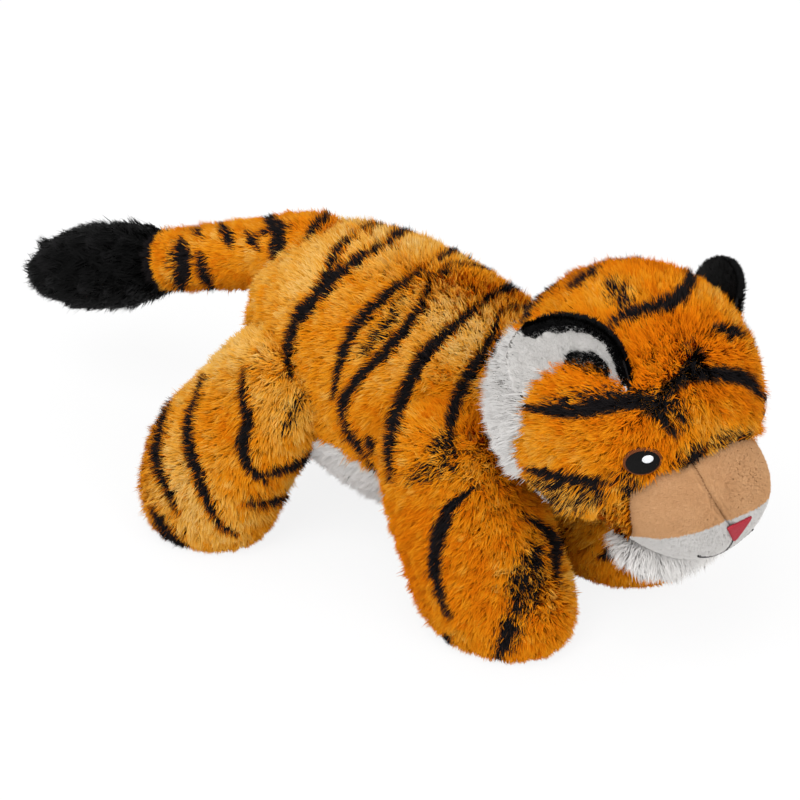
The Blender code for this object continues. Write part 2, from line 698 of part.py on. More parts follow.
def build_muzzle(head_clear):
    """Two tan panels that meet on a seam, the white lip below, the nose and the mouth thread."""
    shell = egg_guide("muzzle_shell", muzzle_form, 0, head)
    cut(shell, egg_guide("muzzle_inside", muzzle_form, short_wall, head), head_clear)
    lip_place = (Matrix.Translation((muzzle_forward + muzzle_half_length, 0,
                                     muzzle_lip_rise - muzzle_down))
                 @ Matrix.Rotation(-muzzle_lip_tilt, 4, "Y"))
    low = (-overrun, -overrun, -overrun)
    lip_cut = guide("lip_cut", box_mesh("lip", low, (overrun, overrun, seam_gap)), head, lip_place)
    within(piece("muzzle_lower", box_mesh("muzzle_lower", low, (overrun, overrun, 0)), head,
                 finishes["white_plush"], lip_place), shell)
    for word, side in sides:
        panel = piece(f"muzzle_top_{word}", half_block(side), head, finishes["tan_plush"])
        cut(within(panel, shell), lip_cut)
    raised = egg_guide("muzzle_raised", muzzle_form, -stitch_height, head)
    seat = egg_guide("muzzle_seat", muzzle_form, -seam_gap, head)
    nose_middle = -muzzle_down - nose_down
    nose = [(-nose_width / 2, nose_height / 2), (0, -nose_height / 2), (nose_width / 2, nose_height / 2)]
    nose = [(y, nose_middle + z) for y, z in nose]
    nose = piece("nose_patch", prism_mesh("nose_patch", nose, muzzle_forward, overrun), head,
                 finishes["rose_thread"])
    cut(within(nose, raised), seat)
    top = nose_middle - nose_height / 2 - seam_gap
    half = thread_width / 2
    bottom = top - mouth_drop
    span = np.linspace(-mouth_half_width, mouth_half_width, 13)
    curl = mouth_drop / 2 * (span / mouth_half_width) ** 2
    lower = [(y, bottom + rise - half) for y, rise in zip(span, curl)]
    upper = [(y, bottom + rise + half) for y, rise in zip(span, curl)]
    left = [point for point in upper if point[0] < -half]
    right = [point for point in upper if point[0] > half]
    outline = lower + right[::-1] + [(half, bottom + half), (half, top), (-half, top),
                                     (-half, bottom + half)] + left[::-1]
    mouth = piece("mouth_stitch", prism_mesh("mouth_stitch", outline, muzzle_forward, overrun), head,
                  finishes["black_thread"])
    cut(within(mouth, raised), seat)


def build_eyes(head_clear):
    """Each eye is embroidered in three: a brown rim, a black pupil and a white highlight."""
    raised = egg_guide("head_raised", head_form, -stitch_height, head)
    for word, side in sides:
        aim = (Matrix.Rotation(side * eye_bearing, 4, "Z") @ Matrix.Rotation(-eye_rise, 4, "Y")
               @ Matrix.Rotation(side * eye_lean, 4, "X"))
        shift = (eye_highlight_shift * -side, eye_highlight_shift)

        def patch(name, size, finish, centre=(0, 0)):
            outline = oval(*size, eye_sides) + centre
            made = piece(name, prism_mesh(name, outline, head_half_length / 2, overrun), head, finish, aim)
            return cut(within(made, raised), head_clear)

        def room(name, size, centre=(0, 0)):
            outline = oval(size[0] + seam_gap, size[1] + seam_gap, eye_sides) + centre
            return guide(name, prism_mesh(name, outline, 0, overrun), head, aim)

        rim = (eye_rim_half_width, eye_rim_half_height)
        pupil = (eye_pupil_half_width, eye_pupil_half_height)
        highlight = (eye_highlight_half_width, eye_highlight_half_height)
        cut(patch(f"eye_rim_{word}", rim, finishes["brown_thread"]), room(f"pupil_room_{word}", pupil))
        cut(patch(f"eye_pupil_{word}", pupil, finishes["black_thread"]),
            room(f"highlight_room_{word}", highlight, shift))
        patch(f"eye_highlight_{word}", highlight, finishes["white_thread"], shift)


def ear_grid(size_share, forward):
    """The ear's cupped sheet: half an oval whose edges curl towards the side it faces."""
    columns, rows = ear_columns, ear_rows
    across, rise = np.meshgrid(np.linspace(-1, 1, columns), np.linspace(0, 1, rows))
    reach = size_share * ear_half_width * np.sin(across * ear_span) / math.sin(ear_span)
    height = size_share * ear_height * rise * np.cos(across * ear_span) ** ear_fullness
    cup = ear_cup * (reach / ear_half_width) ** 2
    return np.stack([cup + forward, reach, height], 2)


def build_ears():
    """Each ear is a black back and a white lining, cut to the head over the whole of its fold."""
    for word, side in sides:
        forward, out, up, lean, facing, roll = ear_places[word]
        place = (Matrix.Translation((forward, side * out, up))
                 @ Matrix.Rotation(side * facing, 4, "Z") @ Matrix.Rotation(lean, 4, "Y")
                 @ Matrix.Rotation(-side * roll, 4, "X"))
        ear = empty(f"ear_joint_{word}", head, place)
        around = closed_mesh("ear_head", *egg_rings(head_form, -swing_gap))
        around.transform(place.inverted())
        swings = [guide(f"ear_head_{word}_{step}", around, ear, Matrix.Rotation(-angle, 4, "Y"))
                  for step, angle in enumerate(steps(ear_fold_limits, 3))]
        back = slab_mesh("ear_back", ear_grid(1, 0), -ear_back_wall)
        lining = slab_mesh("ear_lining", ear_grid(lining_share, seam_gap), short_wall)
        cut(piece(f"ear_back_{word}", back, ear, finishes["black_plush"]), *swings)
        cut(piece(f"ear_lining_{word}", lining, ear, finishes["white_plush"]), *swings)


build_body()
build_legs()
build_tail()
build_head()
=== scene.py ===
# %% [markdown]
# # A plush tiger dressed in its own fur
#
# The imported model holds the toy's panels, stuffing and joints as plain solids. Here each panel gets a
# stuffed skin a little inside its solid, and tens of thousands of small blades of pile that fill the
# space between. A particle system would be the usual way to grow hair in Blender, but hair is not a
# mesh and is lost when a model is exported. Blades made as one mesh per panel keep their place.

# %% Load the frame
import json
import math
from types import SimpleNamespace

import bpy
import numpy as np
from mathutils import Matrix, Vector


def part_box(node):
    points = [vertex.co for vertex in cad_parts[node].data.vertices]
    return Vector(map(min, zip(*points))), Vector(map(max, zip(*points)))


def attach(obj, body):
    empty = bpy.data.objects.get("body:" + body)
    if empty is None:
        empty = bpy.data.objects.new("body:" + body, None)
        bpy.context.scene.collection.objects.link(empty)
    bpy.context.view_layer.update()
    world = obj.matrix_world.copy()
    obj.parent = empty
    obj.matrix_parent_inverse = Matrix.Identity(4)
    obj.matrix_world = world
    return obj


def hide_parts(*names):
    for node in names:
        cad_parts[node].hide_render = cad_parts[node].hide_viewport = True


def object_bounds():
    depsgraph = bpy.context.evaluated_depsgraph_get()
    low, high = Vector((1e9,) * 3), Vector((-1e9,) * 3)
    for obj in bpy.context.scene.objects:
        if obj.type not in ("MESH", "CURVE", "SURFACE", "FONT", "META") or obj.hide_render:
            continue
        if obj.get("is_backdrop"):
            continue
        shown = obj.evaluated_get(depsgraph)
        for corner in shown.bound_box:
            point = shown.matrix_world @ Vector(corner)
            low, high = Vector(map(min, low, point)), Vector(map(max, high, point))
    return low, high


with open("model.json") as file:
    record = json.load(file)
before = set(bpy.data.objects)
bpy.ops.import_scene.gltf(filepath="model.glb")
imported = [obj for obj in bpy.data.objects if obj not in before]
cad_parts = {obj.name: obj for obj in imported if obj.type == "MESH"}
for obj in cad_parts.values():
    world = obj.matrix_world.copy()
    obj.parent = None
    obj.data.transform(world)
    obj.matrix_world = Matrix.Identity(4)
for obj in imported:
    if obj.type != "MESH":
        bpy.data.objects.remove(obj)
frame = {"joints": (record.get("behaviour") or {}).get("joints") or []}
cad_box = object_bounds()
joint_at = {joint["name"]: np.array(joint["pos_m"]) for joint in frame["joints"]}

# %% [markdown]
# ## The camera first
#
# The stripes are printed on the fabric in places that the photograph shows, so every blade has to know
# where the photograph sees it. The camera is therefore worked out first, from its bearing, height and
# distance, and one function carries a point in space to a pixel.

# %% Camera and projection
neck_x, neck_height = 0.078, 0.114
body_origin = joint_at["head_turn"] - (neck_x, 0, neck_height)
camera_azimuth, camera_elevation = math.radians(36.5), math.radians(30.1)
camera_distance = 1.4
camera_sensor = 36.0
picture_size = 800
pixels_per_unit_depth = 2800
aim_pixel, aim_height = np.array((412.0, 374.0)), 0.09
aim = body_origin + (0, 0, aim_height)
backward = np.array((math.sin(camera_azimuth) * math.cos(camera_elevation),
                     -math.cos(camera_azimuth) * math.cos(camera_elevation),
                     math.sin(camera_elevation)))
rightward = np.array((math.cos(camera_azimuth), math.sin(camera_azimuth), 0.0))
upward = np.cross(backward, rightward)
eye_point = aim + camera_distance * backward


def to_pixels(points):
    """Divides a point's places across and up the view by its depth, as a pinhole does."""
    away = points - eye_point
    depth = -(away @ backward)
    across = aim_pixel[0] + pixels_per_unit_depth * (away @ rightward) / depth
    down = aim_pixel[1] - pixels_per_unit_depth * (away @ upward) / depth
    return np.stack([across, down], -1)


print("the aim falls on pixel", to_pixels(aim).round(1))

# %% [markdown]
# ## Stuffed forms
#
# A stuffed panel has no flat places: pressure rounds it. Each form is a function of two numbers from 0
# to 1, one along it and one round it, so a whole skin, or fifty thousand roots, is one call on arrays.

# %% Curves and noise
def follow(shares, along):
    """A Catmull-Rom curve through evenly spaced rows of shares, read at places from 0 to 1."""
    shares = np.asarray(shares, float)
    knots = np.concatenate([[2 * shares[0] - shares[1]], shares, [2 * shares[-1] - shares[-2]]])
    place = np.clip(along, 0, 1) * (len(shares) - 1)
    first = np.minimum(place.astype(int), len(shares) - 2)
    part = (place - first).reshape(place.shape + (1,) * (shares.ndim - 1))
    a, b, c, d = (knots[first + step] for step in range(4))
    return (2 * b + (c - a) * part + (2 * a - 5 * b + 4 * c - d) * part ** 2
            + (3 * b - a - 3 * c + d) * part ** 3) / 2


def waves(points, size, seed):
    """Smooth noise from about -1 to 1: the mean of eight sine waves that cross in all directions."""
    dice = np.random.default_rng(seed)
    turns = dice.normal(size=(3, 8)) / size
    return np.sin(points @ turns + dice.uniform(0, 2 * math.pi, 8)).mean(-1) * 2.2


def step_between(low, high, value):
    """0 below low, 1 above high, and a smooth S between them."""
    part = np.clip((value - low) / (high - low), 0, 1)
    return part * part * (3 - 2 * part)


def unit(directions, tiny=0.0):
    """Directions over their own lengths; a tiny length keeps an empty one from dividing by zero."""
    return directions / (np.linalg.norm(directions, axis=-1, keepdims=True) + tiny)


# %% Egg forms for the body, head, muzzle and chin
def shift(x=0.0, y=0.0, z=0.0):
    """A move as a 4 by 4 matrix."""
    made = np.eye(4)
    made[:3, 3] = (x, y, z)
    return made


def turn(axis, angle):
    """A turn about one axis, 0 for x, 1 for y and 2 for z, by the right hand."""
    made = np.eye(4)
    first, second = (axis + 1) % 3, (axis + 2) % 3
    made[first, first] = made[second, second] = math.cos(angle)
    made[first, second], made[second, first] = -math.sin(angle), math.sin(angle)
    return made


def placed(matrix, points):
    """Points of a form's own frame in the frame of the whole toy."""
    return points @ matrix[:3, :3].T + matrix[:3, 3]


def in_frame(matrix, points):
    """Points of the toy's frame in a form's own frame, which is turned but not scaled."""
    return (points - matrix[:3, 3]) @ matrix[:3, :3]


def turned(matrix, directions):
    """Directions of a form's own frame in the frame of the toy."""
    return directions @ matrix[:3, :3].T


head_turn, head_drop = math.radians(-14), math.radians(12)
head_forward, head_rise = 0.061, 0.021
body_place = shift(*body_origin)
head_place = (body_place @ shift(neck_x, 0, neck_height) @ turn(2, head_turn)
              @ shift(head_forward, 0, head_rise) @ turn(1, head_drop))


def form_of(place, start, length, middle, half_width, half_height, bluntness=0.62, full_below=0.0,
            widths=(1.0, 1.0), heights=(1.0, 1.0), lifts=(0.0, 0.0)):
    """An egg form's place and lengths, then its shares of width, height and lift along its run."""
    return SimpleNamespace(**locals())


body_form = form_of(body_place, -0.092, 0.190, 0.0905, 0.057, 0.0655,
                    widths=(0.86, 0.98, 1.00, 1.00, 0.94, 0.84),
                    heights=(0.96, 1.05, 1.07, 1.03, 0.94, 0.86),
                    lifts=(0.18, 0.12, 0.03, -0.02, 0.00, 0.04))
head_form = form_of(head_place, -0.060, 0.120, 0.0, 0.062, 0.062, 0.86, 0.10)
muzzle_form = form_of(head_place, -0.013, 0.092, -0.022, 0.040, 0.034)
chin_form = form_of(head_place, 0.022, 0.042, -0.053, 0.034, 0.019)


def egg(form, inset=0.0):
    """A form whose half width and height follow a power of a sine from its one pole to the other."""
    def surface(along, around):
        run = (1 - np.cos(math.pi * along)) / 2
        swell = np.sin(math.pi * along).clip(0) ** form.bluntness
        angle = 2 * math.pi * around
        below = 1 + form.full_below * np.clip(-np.sin(angle), 0, 1)
        x = form.start + inset + (form.length - 2 * inset) * run
        y = (form.half_width - inset) * swell * follow(form.widths, run) * np.cos(angle) * below
        rise = (form.half_height - inset) * swell * follow(form.heights, run) * np.sin(angle)
        z = form.middle + form.half_height * follow(form.lifts, run) + rise
        return placed(form.place, np.stack([x, y, z], -1))
    return surface


def inside_egg(form, points, grown=0.0):
    """True where a point lies inside an egg form grown by a length."""
    local = in_frame(form.place, points)
    run = (local[..., 0] - form.start + grown) / (form.length + 2 * grown)
    run_in = np.clip(run, 0.0005, 0.9995)
    swell = np.sqrt(4 * run_in * (1 - run_in)) ** form.bluntness
    width = (form.half_width + grown) * swell * follow(form.widths, run_in)
    height = (form.half_height + grown) * swell * follow(form.heights, run_in)
    rise = local[..., 2] - form.middle - form.half_height * follow(form.lifts, run_in)
    return (run > 0) & (run < 1) & ((local[..., 1] / width) ** 2 + (rise / height) ** 2 < 1)


# %% Legs, each a stack of level ovals from its sole to its shoulder
leg_levels = (0.00, 0.00, 0.00, 0.03, 0.09, 0.20, 0.36, 0.52, 0.68, 0.82, 0.93, 1.00)
front_shares = np.stack([leg_levels,
                         (1.00, 1.00, 1.00, 1.00, 0.97, 0.85, 0.58, 0.32, 0.10, -0.02, -0.06, -0.06),
                         (0.02, 0.40, 0.72, 0.86, 0.95, 1.00, 1.00, 1.00, 0.95, 0.82, 0.56, 0.02),
                         (0.02, 0.42, 0.74, 0.88, 0.97, 1.00, 1.00, 0.98, 0.94, 0.83, 0.58, 0.02)], -1)
rear_shares = np.stack([leg_levels,
                        (1.00, 1.00, 1.00, 1.00, 0.99, 0.94, 0.80, 0.52, 0.16, -0.04, -0.10, -0.10),
                        (0.02, 0.36, 0.64, 0.75, 0.83, 0.90, 0.97, 0.98, 0.90, 0.75, 0.50, 0.02),
                        (0.02, 0.42, 0.74, 0.88, 0.97, 1.00, 1.00, 0.98, 0.94, 0.82, 0.58, 0.02)], -1)
leg_half_length = 0.045
leg_forms = {}
for name, rise, reach, spread, half_width, shares in (
        ("front_right", 0.040, 0.032, -0.007, 0.035, front_shares),
        ("front_left", 0.040, 0.044, -0.005, 0.035, front_shares),
        ("rear_right", 0.036, -0.030, -0.020, 0.034, rear_shares),
        ("rear_left", 0.036, -0.034, 0.010, 0.034, rear_shares)):
    leg_forms[name] = SimpleNamespace(
        joint=joint_at[f"{name}_leg_swing"], rise=rise, reach=reach, spread=spread,
        half_length=leg_half_length, half_width=half_width, shares=shares)
skin_floor = 0.0016


def leg(form, inset=0.0):
    """Level ovals whose centre and half sizes follow the rows of shares from the floor upwards."""
    def surface(along, around):
        share = follow(form.shares, along)
        low, high = skin_floor if inset else 0.0, form.joint[2] + form.rise - inset
        angle = 2 * math.pi * around
        half_length = (form.half_length - inset) * share[..., 2]
        half_width = (form.half_width - inset) * share[..., 3]
        return np.stack([form.joint[0] + form.reach * share[..., 1] + half_length * np.cos(angle),
                         form.joint[1] + form.spread * share[..., 1] + half_width * np.sin(angle),
                         low + (high - low) * share[..., 0]], -1)
    return surface


def inside_leg(form, points, grown=0.0):
    """True where a point lies inside a leg grown by a length."""
    rows = np.array(form.shares)[1:]
    height = points[..., 2] / (form.joint[2] + form.rise + grown)
    level = np.clip(height, 0, 1)
    centre, half_length, half_width = (np.interp(level, rows[:, 0], rows[:, k]) for k in (1, 2, 3))
    x = (points[..., 0] - form.joint[0] - form.reach * centre) / (form.half_length * half_length + grown)
    y = (points[..., 1] - form.joint[1] - form.spread * centre) / (form.half_width * half_width + grown)
    return (height < 1) & (x * x + y * y < 1)


# %% The tail, carried along a straight path
tail_slope = math.radians(-21)
tail_length, tail_radius = 0.104, 0.0185
tip_length, tip_radius = 0.101, 0.026
sleeve_shares = (1.08, 1.04, 0.96, 0.92)
tip_shares = (0.66, 0.92, 1.0, 0.94, 0.66)
tail_root = joint_at["tail_lift"]
tail_direction = np.array((-math.cos(tail_slope), 0.0, math.sin(tail_slope)))
tail_upward = np.cross(tail_direction, (0, 1, 0))
tail_overlap = 0.020


def tube(start, length, radius_at):
    """A round tube along the tail: its radius is a function of the share of its length."""
    def surface(along, around):
        angle = 2 * math.pi * around
        radius = radius_at(along)[..., None]
        centre = tail_root + (start + length * along)[..., None] * tail_direction
        return (centre + radius * np.cos(angle)[..., None] * np.array((0.0, 1.0, 0.0))
                + radius * np.sin(angle)[..., None] * tail_upward)
    return surface


def sleeve(inset=0.0):
    """The striped sleeve, rounded off inside the rump and inside the tip."""
    def radius_at(along):
        ends = np.sqrt(np.clip(1 - np.abs(2 * along - 1) ** 12, 0, 1))
        return (tail_radius * follow(sleeve_shares, along) - inset) * ends
    return tube(-tail_overlap, tail_length + tail_overlap * 1.3, radius_at)


def tip(inset=0.0):
    """The black tip, which swells and closes in a round end."""
    def radius_at(along):
        swell = follow(tip_shares, along) * np.sqrt(np.clip(1 - along ** 4, 0, 1))
        return (tip_radius - inset) * swell * step_between(-0.02, 0.05, along) ** 0.5
    return tube(tail_length - inset / 2, tip_length, radius_at)


# %% [markdown]
# ## From a surface to a mesh
#
# A closed skin needs no caps made by hand: its first and last rings shrink to one point each. Normals
# come from the two directions in which the surface runs, and one sign for the whole form turns them
# outwards.

# %% Skins
def closed_skin(name, surface, rows=72, columns=64):
    """A grid over the surface whose two end rings are poles, as one closed mesh."""
    along, around = np.meshgrid(np.linspace(0, 1, rows), np.arange(columns) / columns, indexing="ij")
    grid = surface(along, around)
    points = np.concatenate([grid[1:-1].reshape(-1, 3), grid[0].mean(0)[None], grid[-1].mean(0)[None]])
    index = np.arange((rows - 2) * columns).reshape(rows - 2, columns)
    beside = np.roll(index, -1, axis=1)
    quads = np.stack([index[:-1], beside[:-1], beside[1:], index[1:]], -1).reshape(-1, 4)
    poles = [np.stack([index[row], beside[row], np.full(columns, len(points) - 2 + end)], -1)
             for end, row in enumerate((0, -1))]
    first = poles[0][:, ::-1]
    return turned_outwards(mesh_of(name, points, [quads, first, poles[1]]))


def mesh_of(name, points, face_groups):
    """An object of points and of groups of faces with equal numbers of corners."""
    mesh = bpy.data.meshes.new(name)
    corners = [group.ravel() for group in face_groups]
    counts = np.concatenate([np.full(len(group), group.shape[1]) for group in face_groups])
    mesh.vertices.add(len(points))
    mesh.vertices.foreach_set("co", np.ascontiguousarray(points, np.float32).ravel())
    mesh.loops.add(int(counts.sum()))
    mesh.loops.foreach_set("vertex_index", np.concatenate(corners).astype(np.int32))
    mesh.polygons.add(len(counts))
    mesh.polygons.foreach_set("loop_start", np.concatenate([[0], np.cumsum(counts)[:-1]]).astype(np.int32))
    mesh.update(calc_edges=True)
    mesh.shade_smooth()
    made = bpy.data.objects.new(name, mesh)
    bpy.context.scene.collection.objects.link(made)
    return made


def points_of(made):
    """A mesh's points, three numbers to a row."""
    points = np.empty(len(made.data.vertices) * 3, np.float32)
    made.data.vertices.foreach_get("co", points)
    return points.reshape(-1, 3)


def turned_outwards(made):
    """A closed mesh whose faces look out: fans from its corners sum to a positive volume."""
    points = points_of(made).astype(float)
    made.data.calc_loop_triangles()
    corners = np.empty(len(made.data.loop_triangles) * 3, np.int32)
    made.data.loop_triangles.foreach_get("vertices", corners)
    a, b, c = (points[corners.reshape(-1, 3)[:, k]] for k in range(3))
    if np.einsum("ij,ij->i", a, np.cross(b, c)).sum() < 0:
        made.data.flip_normals()
    return made


def normals_at(surface, along, around, nudge=1e-3):
    """Outward normals, from how the surface moves when each of its two numbers is nudged."""
    low, high = np.clip(along - nudge, 0, 1), np.clip(along + nudge, 0, 1)
    lengthwise = surface(high, around) - surface(low, around)
    sideways = surface(along, around + nudge) - surface(along, around - nudge)
    facing = unit(np.cross(lengthwise, sideways), 1e-12)
    away = surface(along, around) - surface(along, around + 0.5)
    return facing * np.sign((facing * away).sum(-1).mean())


# %% [markdown]
# ## Shader maths
#
# A small class wraps an output socket, so that a colour rule is written as a sum and the nodes are
# added behind it. Every finish below is made with it.

# %% Sockets as numbers
class Wire:
    """One output socket of a material, with + - * that add Math nodes."""

    def __init__(self, tree, socket):
        self.tree, self.socket = tree, socket

    def node(self, kind, settings, output, sockets=None, **values):
        """Any node: its type, its settings, which output is wanted, and its sockets' values or wires."""
        return Wire(self.tree, add_node(self.tree, kind, settings, sockets, **values).outputs[output])

    def math(self, operation, *others):
        """A Math node on this wire and any others."""
        return self.node("ShaderNodeMath", {"operation": operation}, 0, dict(enumerate((self, *others))))

    def __add__(self, other):
        return self.math("ADD", other)

    __radd__ = __add__

    def __mul__(self, other):
        return self.math("MULTIPLY", other)

    __rmul__ = __mul__

    def __sub__(self, other):
        return self.math("SUBTRACT", other)

    def __rsub__(self, other):
        return self * -1 + other

    def between(self, low, high):
        """0 below low, 1 above high, smooth between."""
        return self.node("ShaderNodeMapRange", {"interpolation_type": "SMOOTHSTEP"}, "Result",
                         Value=self, From_Min=low, From_Max=high)

    def pick(self, first, second):
        """The first colour where this is 0, the second where it is 1."""
        return self.node("ShaderNodeMix", {"data_type": "RGBA"}, 2, {0: self, 6: first, 7: second})

    def times(self, other):
        """Two colours multiplied channel by channel."""
        return self.node("ShaderNodeMix", {"data_type": "RGBA", "blend_type": "MULTIPLY"}, 2,
                         {0: 1.0, 6: self, 7: other})

    def ramp(self, stops):
        """A colour ramp with stops of (place, colour)."""
        made = add_node(self.tree, "ShaderNodeValToRGB", sockets={0: self})
        elements = made.color_ramp.elements
        while len(elements) < len(stops):
            elements.new(0.5)
        for element, (place, colour) in zip(elements, stops):
            element.position = place
            element.color = (*colour, 1)
        return Wire(self.tree, made.outputs[0])


def put(tree, socket, value):
    """Sets a socket from a number, a colour or a wire."""
    if isinstance(value, Wire):
        tree.links.new(value.socket, socket)
    elif isinstance(value, (int, float)):
        socket.default_value = value
    else:
        socket.default_value = (*value, 1) if len(socket.default_value) == 4 else tuple(value)


def add_node(tree, kind, settings=None, sockets=None, **values):
    """A node: its settings first, then its sockets by number, or by name with _ for a space."""
    made = tree.nodes.new(kind)
    for key, value in (settings or {}).items():
        setattr(made, key, value)
    for key, value in (sockets or {}).items():
        put(tree, made.inputs[key], value)
    for key, value in values.items():
        put(tree, made.inputs[key.replace("_", " ")], value)
    return made


def finish_of(name, colour_rule, roughness=0.9, shine=0.15, sheen=0.0, bump_rule=None, bump_depth=0.0):
    """A material whose colour, and bump where it has one, are rules on its tree."""
    made = bpy.data.materials.new(name)
    made.use_nodes = True
    tree = made.node_tree
    shader = tree.nodes["Principled BSDF"]
    put(tree, shader.inputs["Base Color"], colour_rule(tree))
    shader.inputs["Roughness"].default_value = roughness
    shader.inputs["Specular IOR Level"].default_value = shine
    shader.inputs["Sheen Weight"].default_value = sheen
    if bump_rule:
        bump = add_node(tree, "ShaderNodeBump", Height=bump_rule(tree), Strength=1.0, Distance=bump_depth)
        tree.links.new(bump.outputs["Normal"], shader.inputs["Normal"])
    return made


def noise(tree, scale, detail=3.0):
    """Noise on the piece's own place in space, in features to the metre."""
    place = add_node(tree, "ShaderNodeTexCoord")
    made = add_node(tree, "ShaderNodeTexNoise", Vector=Wire(tree, place.outputs["Object"]),
                    Scale=float(scale), Detail=detail)
    return Wire(tree, made.outputs["Fac"])


def speckled(name, dark, light, features, **options):
    """A finish that wanders between two colours, in features to the metre."""
    return finish_of(name, lambda tree: noise(tree, features).pick(dark, light), **options)


def numbers_of(tree, kind, output, settings=None):
    """The three numbers of the vector that a node gives."""
    source = add_node(tree, kind, settings)
    split = add_node(tree, "ShaderNodeSeparateXYZ", Vector=Wire(tree, source.outputs[output]))
    return [Wire(tree, number) for number in split.outputs]


# %% [markdown]
# ## Pile
#
# The real pile is a dense upright plush. Its tips are paler, partly the pile's own tone and partly a
# painted highlight where they catch the light, and a painted shade darkens the colour towards the
# roots, so every parting and fold shows as a deeper orange. Each blade carries a tone, from pale gold
# at 0 through orange to black at 1, and its height. Both are stored as a UV map, so the colour stays
# with the blade in any viewer.

# %% Pile finishes
def pile(name, tips, middles, root_shade=0.35, roughness=0.85, shine=0.04):
    """Tone picks a colour at the tip, paler in part as a painted highlight, and one at the middle; a
    painted shade darkens it towards the root.
    """
    def colour(tree):
        tone, height, _ = numbers_of(tree, "ShaderNodeUVMap", 0, {"uv_map": "OFBake"})
        middle = tone.ramp(middles)
        lit = height.between(0.45, 1.0).pick(middle, tone.ramp(tips))
        shade = height.between(0.0, 0.50).pick((root_shade,) * 3, (1.0, 1.0, 1.0))
        return lit.times(shade)
    return finish_of(name, colour, roughness, shine)


ink, ink_tip = (0.0060, 0.0050, 0.0055), (0.016, 0.0135, 0.014)
orange_pile = pile("striped_orange_pile", (
    (0.00, (0.88, 0.61, 0.24)), (0.18, (0.86, 0.50, 0.11)), (0.40, (0.83, 0.35, 0.015)),
    (0.62, (0.79, 0.22, 0.002)), (0.74, (0.22, 0.085, 0.016)), (0.86, ink_tip), (1.00, ink_tip)), (
    (0.00, (0.83, 0.46, 0.090)), (0.18, (0.80, 0.36, 0.030)), (0.40, (0.74, 0.225, 0.002)),
    (0.62, (0.66, 0.145, 0.001)), (0.74, (0.11, 0.034, 0.003)), (0.86, ink), (1.00, ink)), 0.62)
white_pile = pile("white_pile", ((0.0, (0.71, 0.69, 0.67)), (1.0, (0.80, 0.78, 0.76))),
                  ((0.0, (0.67, 0.645, 0.62)), (1.0, (0.76, 0.74, 0.72))), 0.86)
# The short white nap is painted darker than the long white pile: a painted shade for the lip and the ear
# linings.
white_nap = pile("white_short_pile", ((0.0, (0.52, 0.505, 0.485)), (1.0, (0.66, 0.645, 0.625))),
                 ((0.0, (0.50, 0.485, 0.465)), (1.0, (0.63, 0.61, 0.59))), 0.86)
# The black pile's tips are grey at low tone: a painted highlight, which tufts of lower tone catch.
black_pile = pile("black_pile", (
    (0.0, (0.017, 0.016, 0.017)), (0.6, (0.003, 0.003, 0.003)), (1.0, (0.001, 0.001, 0.001))), (
    (0.0, (0.002, 0.002, 0.002)), (1.0, (0.0008, 0.0008, 0.0008))), 0.4, 0.6, 0.07)
tan_pile = pile("tan_short_pile", (
    (0.0, (0.24, 0.09, 0.035)), (0.22, (0.50, 0.26, 0.120)),
    (0.6, (0.58, 0.325, 0.158)), (1.0, (0.68, 0.40, 0.21))), (
    (0.0, (0.17, 0.065, 0.025)), (0.22, (0.46, 0.235, 0.105)),
    (0.6, (0.54, 0.295, 0.140)), (1.0, (0.62, 0.355, 0.18))), 0.95)
backing_features = 220
skin_finishes = {name: speckled(f"{name}_backing", dark, light, backing_features) for name, dark, light in (
    ("orange", (0.50, 0.18, 0.02), (0.62, 0.25, 0.03)),
    ("white", (0.64, 0.62, 0.60), (0.72, 0.70, 0.68)),
    ("black", (0.004, 0.004, 0.004), (0.010, 0.009, 0.009)))}

# %% Scatter roots and grow blades
def scatter(surface, per_square_mm, seed, cells=160):
    """Roots spread evenly over a surface: cells are drawn by their area and jittered inside."""
    dice = np.random.default_rng(seed)
    edges = np.linspace(0, 1, cells + 1)
    along, around = np.meshgrid(edges, edges, indexing="ij")
    grid = surface(along, around)
    one, two = grid[1:, :-1] - grid[:-1, :-1], grid[:-1, 1:] - grid[:-1, :-1]
    area = np.linalg.norm(np.cross(one, two), axis=-1).ravel()
    count = int(area.sum() * 1e6 * per_square_mm)
    chosen = dice.choice(len(area), count, p=area / area.sum())
    along = (chosen // cells + dice.uniform(size=count)) / cells
    around = (chosen % cells + dice.uniform(size=count)) / cells
    return along, around


def grow(roots, facing, comb, length, seed, lean=(10, 34), clump=0.0038, pull=0.46, tangle=0.38,
         floor=0.0003):
    """Bent blades: up along the normal, over along the comb, and drawn in tufts towards a middle."""
    dice = np.random.default_rng(seed)
    count = len(roots)
    length = np.broadcast_to(length, count) * dice.uniform(0.74, 1.10, count)
    length = length * np.where(dice.uniform(size=count) < 0.03, 1.25, 1.0)
    comb = comb + tangle * dice.normal(size=(count, 3))
    comb = unit(comb - (comb * facing).sum(-1, keepdims=True) * facing, 1e-9)
    first, last = (np.radians(angle + dice.normal(0, 9, count)) for angle in lean)

    def reach(angle):
        return np.cos(angle)[:, None] * facing + np.sin(angle)[:, None] * comb

    middle = roots + 0.5 * length[:, None] * reach(first)
    end = middle + 0.5 * length[:, None] * reach(last)
    cell = np.floor((roots + 0.30 * clump * dice.normal(size=(count, 3))) / clump).astype(np.int64)
    tuft = np.unique((cell * (73856093, 19349663, 83492791)).sum(-1), return_inverse=True)[1].ravel()
    share = np.bincount(tuft).astype(float)
    centre = np.stack([np.bincount(tuft, end[:, k]) / share for k in range(3)], -1)[tuft]
    sway = dice.normal(size=(len(share), 3))[tuft]
    drawn = pull * (centre - end) + 0.10 * length[:, None] * sway
    end, middle = end + drawn, middle + 0.3 * drawn
    end[:, 2], middle[:, 2] = np.maximum(end[:, 2], floor), np.maximum(middle[:, 2], floor)
    return SimpleNamespace(
        roots=roots, middle=middle, end=end, facing=facing, sideways=np.cross(comb, facing),
        tuft=dice.normal(size=len(share))[tuft], sway=sway, print=0.3 * middle + 0.7 * end, dice=dice)


